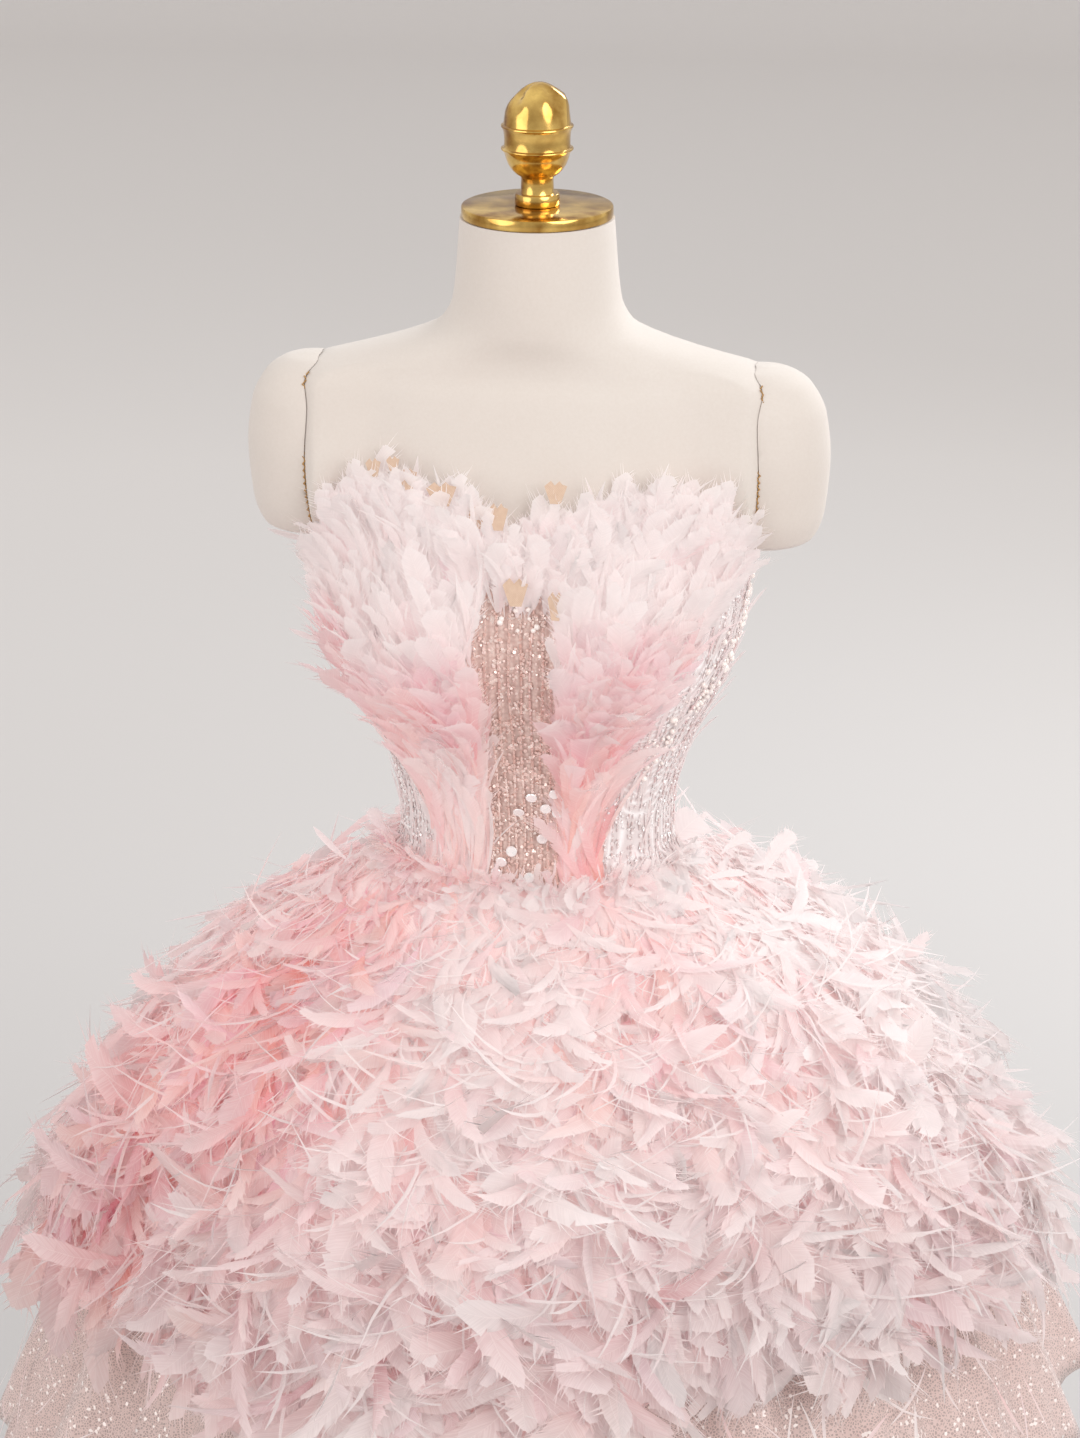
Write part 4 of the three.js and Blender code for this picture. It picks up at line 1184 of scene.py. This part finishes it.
def nude_points():
    """Pinked points of the nude cloth that show through the feathers at the top edge."""
    spots = table("x up half tall turn", [
        (-113, 318, 6, 13, 0.5), (-98, 322, 5, 11, 0.2), (-86, 312, 7, 15, -0.2), (-60, 303, 11, 17, 0.1),
        (-34, 290, 8, 18, 0.0), (-17, 290, 7, 19, -0.1), (25, 308, 8, 16, 0.1), (-4, 236, 9, 20, 0.0),
        (31, 226, 6, 20, 0.15),
    ])
    angle = np.arcsin(spots["x"] / curve(BODY, "up", spots["up"], "half"))
    centre, across, along, outward = on_bodice(angle, spots["up"], 14.0)
    wide = 1.1 * spots["half"][:, None, None] * across[:, None, :]
    tall = 1.1 * spots["tall"][:, None, None] * along[:, None, :]
    shape = np.array([
        (-0.4, -0.5), (0.5, -0.5), (1, 0.3), (0.55, 0.36), (0.3, 0.5), (-0.1, 0.3), (-0.45, 0.5), (-1, 0.25),
    ])
    flat = centre[:, None, :] + wide * shape[None, :, :1] + tall * shape[None, :, 1:]
    n = len(shape)
    points = np.concatenate([flat, flat + outward[:, None, :] * 0.7], axis=1).reshape(-1, 3)
    fan = np.array([(0, i, i + 1) for i in range(1, n - 1)])
    i = np.arange(n)
    j = (i + 1) % n
    rim = np.concatenate([np.stack([i, j, j + n], -1), np.stack([i, j + n, i + n], -1)])
    faces = np.concatenate([fan[:, ::-1], fan + n, rim])
    faces = (faces[None] + (np.arange(len(angle)) * 2 * n)[:, None, None]).reshape(-1, 3)
    return settle(mesh_object("nude_points", points, faces, False), TWILL, "twill")


stray_feathers()


# ---- Beads, pearls, paillettes, stitches and the zip ----

def bead_shape(sides, thick):
    """A closed little drum of unit radius and unit height, lying along its third axis."""
    turn = np.linspace(0, 2 * np.pi, sides, endpoint=False)
    ring = np.stack([np.cos(turn), np.sin(turn)], -1)
    low = np.column_stack([ring, np.full(sides, -0.5)])
    high = np.column_stack([ring * thick, np.full(sides, 0.5)])
    faces = []
    for i in range(sides):
        j = (i + 1) % sides
        faces += [(i, j, sides + j), (i, sides + j, sides + i)]
    for i in range(1, sides - 1):
        faces += [(0, i + 1, i), (sides, sides + i, sides + i + 1)]
    return np.concatenate([low, high]), np.array(faces)


def scattered(name, shape, centre, across, along, outward, sizes, material, slot):
    """Copies of a small shape: sizes are half across, half outward and whole along, a row each."""
    points, faces = shape
    x = points[None, :, 0, None] * across[:, None, :] * sizes[:, 0][:, None, None]
    y = points[None, :, 1, None] * outward[:, None, :] * sizes[:, 1][:, None, None]
    z = points[None, :, 2, None] * along[:, None, :] * sizes[:, 2][:, None, None]
    placed = (centre[:, None, :] + x + y + z).reshape(-1, 3)
    offsets = np.arange(len(centre)) * len(points)
    piece = mesh_object(name, placed, (faces[None] + offsets[:, None, None]).reshape(-1, 3), False)
    return settle(piece, material, slot)


def discs(name, sides, thick, centre, along, facing, sizes, material):
    """Flat discs on the bodice, each facing its own way."""
    across = unit(np.cross(along, facing))
    scattered(name, bead_shape(sides, thick), centre, across, facing, np.cross(facing, across), sizes,
              material, "sequinned_net")


def bead_rows():
    """Upright rows of bugle beads: close on the centre front, spaced on the sides and back."""
    draw = np.random.default_rng(81)
    rows = {"rose_bugle_beads": [], "white_bugle_beads": []}
    for degrees in np.linspace(-13, 13, 9):
        up = -20 + 284 * (np.arange(62) + 0.25 + 0.3 * draw.uniform(0, 1, 62)) / 62
        rows["rose_bugle_beads"].append((degrees + 0.35 * np.sin(up / 21 + degrees), up))
    for side in (-1, 1):
        for degrees in np.linspace(34, 172, 38):
            n = 24 if degrees > 104 else 44
            top = float(top_edge(np.radians(degrees))) - 6
            up = -18 + (top + 18) * (np.arange(n) + draw.uniform(0, 0.6, n)) / n
            rows["white_bugle_beads"].append((side * (degrees + 1.1 * np.sin(up / 37 + degrees)), up))
    for name, material in (("rose_bugle_beads", ROSE_BEAD), ("white_bugle_beads", BEAD)):
        angle, up = (np.concatenate([row[k] for row in rows[name]]) for k in range(2))
        centre, across, along, outward = on_bodice(np.radians(angle), up, 0.55)
        thick = 1.05 if name == "rose_bugle_beads" else 0.75
        sizes = np.stack([np.full(len(up), thick)] * 2 + [draw.uniform(2.4, 4.6, len(up))], -1)
        scattered(name, bead_shape(4, 1.0), centre, across, along, outward, sizes, material, "sequinned_net")


def sequin_rows():
    """Loose sequins, tipped this way and that: rose on the centre front and white on the sides."""
    draw = np.random.default_rng(82)
    for name, n, first, last, material in (
            ("rose_sequins", 760, 0, 14, ROSE_BEAD), ("white_sequins", 1700, 32, 110, PAILLETTE)):
        angle = np.radians(draw.uniform(first, last, n) * draw.choice([-1, 1], n))
        up = -20 + (top_edge(angle) - 2) * draw.uniform(0, 1, n)
        centre, across, along, outward = on_bodice(angle, up, 0.9)
        lean = draw.normal(0, 0.4, (2, n, 1))
        tipped = unit(outward + across * lean[0] + along * lean[1])
        radius = draw.uniform(1.1, 1.8, n)
        sizes = np.stack([radius, radius, np.full(n, 0.35)], -1)
        discs(name, 6, 0.8, centre, along, tipped, sizes, material)


def paillettes():
    """The few large white paillettes low on the centre front."""
    spots = table("x up", [
        (-4, 44), (17, 48), (24, 62), (26, 44), (-18, -2), (4, -14), (-10, 8), (14, 20), (-22, -12), (6, 58),
    ])
    up = spots["up"]
    angle = np.arcsin(spots["x"] / curve(BODY, "up", up, "half"))
    centre, _, along, outward = on_bodice(angle, up, 2.2)
    draw = np.random.default_rng(83)
    tipped = unit(outward + 0.25 * along * draw.normal(0, 1, len(up))[:, None])
    sizes = np.tile([4.6, 4.6, 0.7], (len(up), 1))
    discs("paillettes", 18, 0.86, centre, along, tipped, sizes, PAILLETTE)


def ball_shape():
    """A small round pearl of unit radius: one sphere primitive, read as arrays."""
    bpy.ops.object.select_all(action="DESELECT")
    bpy.ops.mesh.primitive_ico_sphere_add(subdivisions=2, radius=1)
    ball = bpy.context.object
    points = np.array([v.co[:] for v in ball.data.vertices])
    faces = np.array([p.vertices[:] for p in ball.data.polygons])
    bpy.data.objects.remove(ball)
    return points, faces


def pearls():
    """Pearls at the top of the centre front, and in a slanting line at each side of the bust."""
    draw = np.random.default_rng(84)
    angles, ups = [draw.uniform(-13, 13, 60)], [264 - 60 * draw.uniform(0, 1, 60) ** 1.8]
    for side in (-1, 1):
        share = np.linspace(0, 1, 120) ** 1.3
        angles.append(side * (90 - 50 * share + draw.normal(0, 4, 120)))
        ups.append(216 - 140 * share ** 0.8 + draw.normal(0, 8, 120))
    angle, up = np.radians(np.concatenate(angles)), np.concatenate(ups)
    centre, across, along, outward = on_bodice(angle, up, 1.6)
    radius = draw.uniform(1.2, 2.7, len(up))
    sizes = np.stack([radius] * 3, -1)
    piece = scattered(
        "pearls", ball_shape(), centre, across, along, outward, sizes, PEARL, "sequinned_net")
    piece.data.polygons.foreach_set("use_smooth", np.full(len(piece.data.polygons), True))


def shoulder_stitches():
    """Gold brown thread drawn across the gap between the torso and each pad."""
    draw = np.random.default_rng(85)
    parts = []
    for side in (-1, 1):
        n = 44
        share = (np.arange(n) + 0.5) / n
        up = 262 + 122 * share
        y = -np.minimum(curve(CAP, "up", up, "deep"), curve(BODY, "up", up, "front") * 0.62)
        x = np.empty(n)
        for k in range(n):
            section = form_point(np.linspace(0, np.pi, SIDE_POINTS), np.full(SIDE_POINTS, up[k]))
            x[k] = np.interp(y[k], section[:, 1], section[:, 0]) + 0.5 * ARMHOLE_GAP
        lean = 0.6 * np.where(np.arange(n) % 2, 1, -1) + draw.normal(0, 0.1, n)
        parts.append((side * x, y - 0.4, up, lean))
    x, y, up, lean = (np.concatenate([part[k] for part in parts]) for k in range(4))
    centre = np.stack([x, y, WAIST + up], -1)
    n = len(x)
    along = unit(np.stack([np.sin(lean), np.zeros(n), np.cos(lean)], -1))
    outward = np.tile([0.0, -1.0, 0.0], (n, 1))
    across = unit(np.cross(along, outward))
    sizes = np.tile([0.55, 0.55, 4.4], (n, 1))
    scattered(
        "shoulder_stitches", bead_shape(6, 1.0), centre, across, along, outward, sizes, THREAD, "canvas")


def zip_closure():
    """Brass teeth down the centre back, and the slider with its tab."""
    n = 64
    up = np.linspace(-18, float(top_edge(np.pi)) - 6, n)
    side = np.where(np.arange(n) % 2, 1.0, -1.0)
    centre, across, along, outward = on_bodice(np.full(n, np.pi), up, 0.5)
    centre = centre + across * (side * 0.8)[:, None]
    sizes = np.tile([1.5, 0.7, 1.6], (n, 1))
    scattered("zip_teeth", bead_shape(4, 1.0), centre, across, along, outward, sizes, BRASS, "gold")
    low, high = (np.array(corner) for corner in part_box("zip_slider"))
    bpy.ops.object.select_all(action="DESELECT")
    bpy.ops.mesh.primitive_cube_add(size=1, location=(low + high) / 2, scale=high - low)
    slider = bpy.context.object
    slider.name = slider.data.name = "zip_pull"
    bpy.ops.object.transform_apply(location=True, scale=True)
    bevel = slider.modifiers.new("rounded", "BEVEL")
    bevel.width, bevel.segments = 0.0009, 3
    bpy.ops.object.modifier_apply(modifier="rounded")
    smooth_by_angle(slider, 40)
    settle(slider, BRASS, "gold", "zip_slider")


nude_points()
bead_rows()
sequin_rows()
paillettes()
pearls()
shoulder_stitches()
zip_closure()


# ---- Studio ----

def pale_floor():
    """One pale sweep: floor, rounded corner and wall behind."""
    reach, front, back, radius, height = 12.0, -12.0, 10.5, 1.2, 5.0
    line = [(front, 0.0), (back - radius, 0.0)]
    for k in range(1, 13):
        turn = math.radians(90 * k / 12)
        line.append((back - radius + radius * math.sin(turn), radius - radius * math.cos(turn)))
    line.append((back, height))
    points = [(x * 1000, y * 1000, z * 1000 - 0.4) for x in (-reach, reach) for y, z in line]
    n = len(line)
    faces = [(k, n + k, n + k + 1, k + 1) for k in range(n - 1)]
    sweep = mesh_object("floor", points, faces)
    finish = Finish("pale floor painted lighter far off")
    x, y, _ = finish.split(finish.place())
    # Painted light: the floor's colour grows lighter away from the dress, making up for the light falling off
    # there.
    far = (((x * x + y * y) ** 0.5 - 1.2) * 0.3).most(0).least(1)
    near_base = finish.mix(finish.noise(0.6, 2.0), rgb(192, 188, 186), rgb(198, 196, 196))
    base = finish.mix(far, near_base, rgb(224, 220, 218))
    sweep.data.materials.append(finish.done(Base_Color=base, Roughness=0.9))


def soft_light(name, place, aim, size, power, colour):
    data = bpy.data.lights.new(name, "AREA")
    data.shape, data.size, data.energy, data.color = "DISK", size, power, colour
    lamp = bpy.data.objects.new(name, data)
    lamp.location = place
    lamp.rotation_euler = (Vector(aim) - Vector(place)).to_track_quat("-Z", "Y").to_euler()
    bpy.context.collection.objects.link(lamp)


pale_floor()
for light in (
        # name, place and aim in metres, breadth, power, colour
        ("key", (2.6, -2.4, 3.2), (0, 0, 1.1), 3.0, 74, (1.0, 0.98, 0.96)),
        ("fill", (-3.0, -2.6, 2.2), (0, 0, 1.0), 3.2, 42, (1.0, 0.96, 0.93)),
        ("back", (1.6, 2.6, 3.0), (0, 0, 1.2), 1.6, 60, (0.93, 0.97, 1.0))):
    soft_light(*light)


def studio_air():
    """Soft light from all round, dimmer from behind the camera, as a room's far end is."""
    world = bpy.data.worlds.new("studio air")
    world.use_nodes = True
    tree = world.node_tree
    place = tree.nodes.new("ShaderNodeTexCoord")
    lean = tree.nodes.new("ShaderNodeVectorMath")
    lean.operation = "DOT_PRODUCT"
    lean.inputs[1].default_value = (0.2, 0.66, 0.72)
    ramp = tree.nodes.new("ShaderNodeValToRGB")
    stops = (0.0, (0.62, 0.6, 0.59, 1)), (0.7, (1.0, 0.985, 0.97, 1))
    for element, (position, colour) in zip(ramp.color_ramp.elements, stops):
        element.position, element.color = position, colour
    scale = tree.nodes.new("ShaderNodeMath")
    scale.operation = "MULTIPLY_ADD"
    scale.inputs[1].default_value, scale.inputs[2].default_value = 0.5, 0.5
    tree.links.new(place.outputs["Generated"], lean.inputs[0])
    tree.links.new(lean.outputs["Value"], scale.inputs[0])
    tree.links.new(scale.outputs[0], ramp.inputs[0])
    tree.links.new(ramp.outputs[0], tree.nodes["Background"].inputs["Color"])
    tree.nodes["Background"].inputs["Strength"].default_value = 0.85
    bpy.context.scene.world = world


studio_air()
bpy.context.scene.view_settings.view_transform = "Standard"
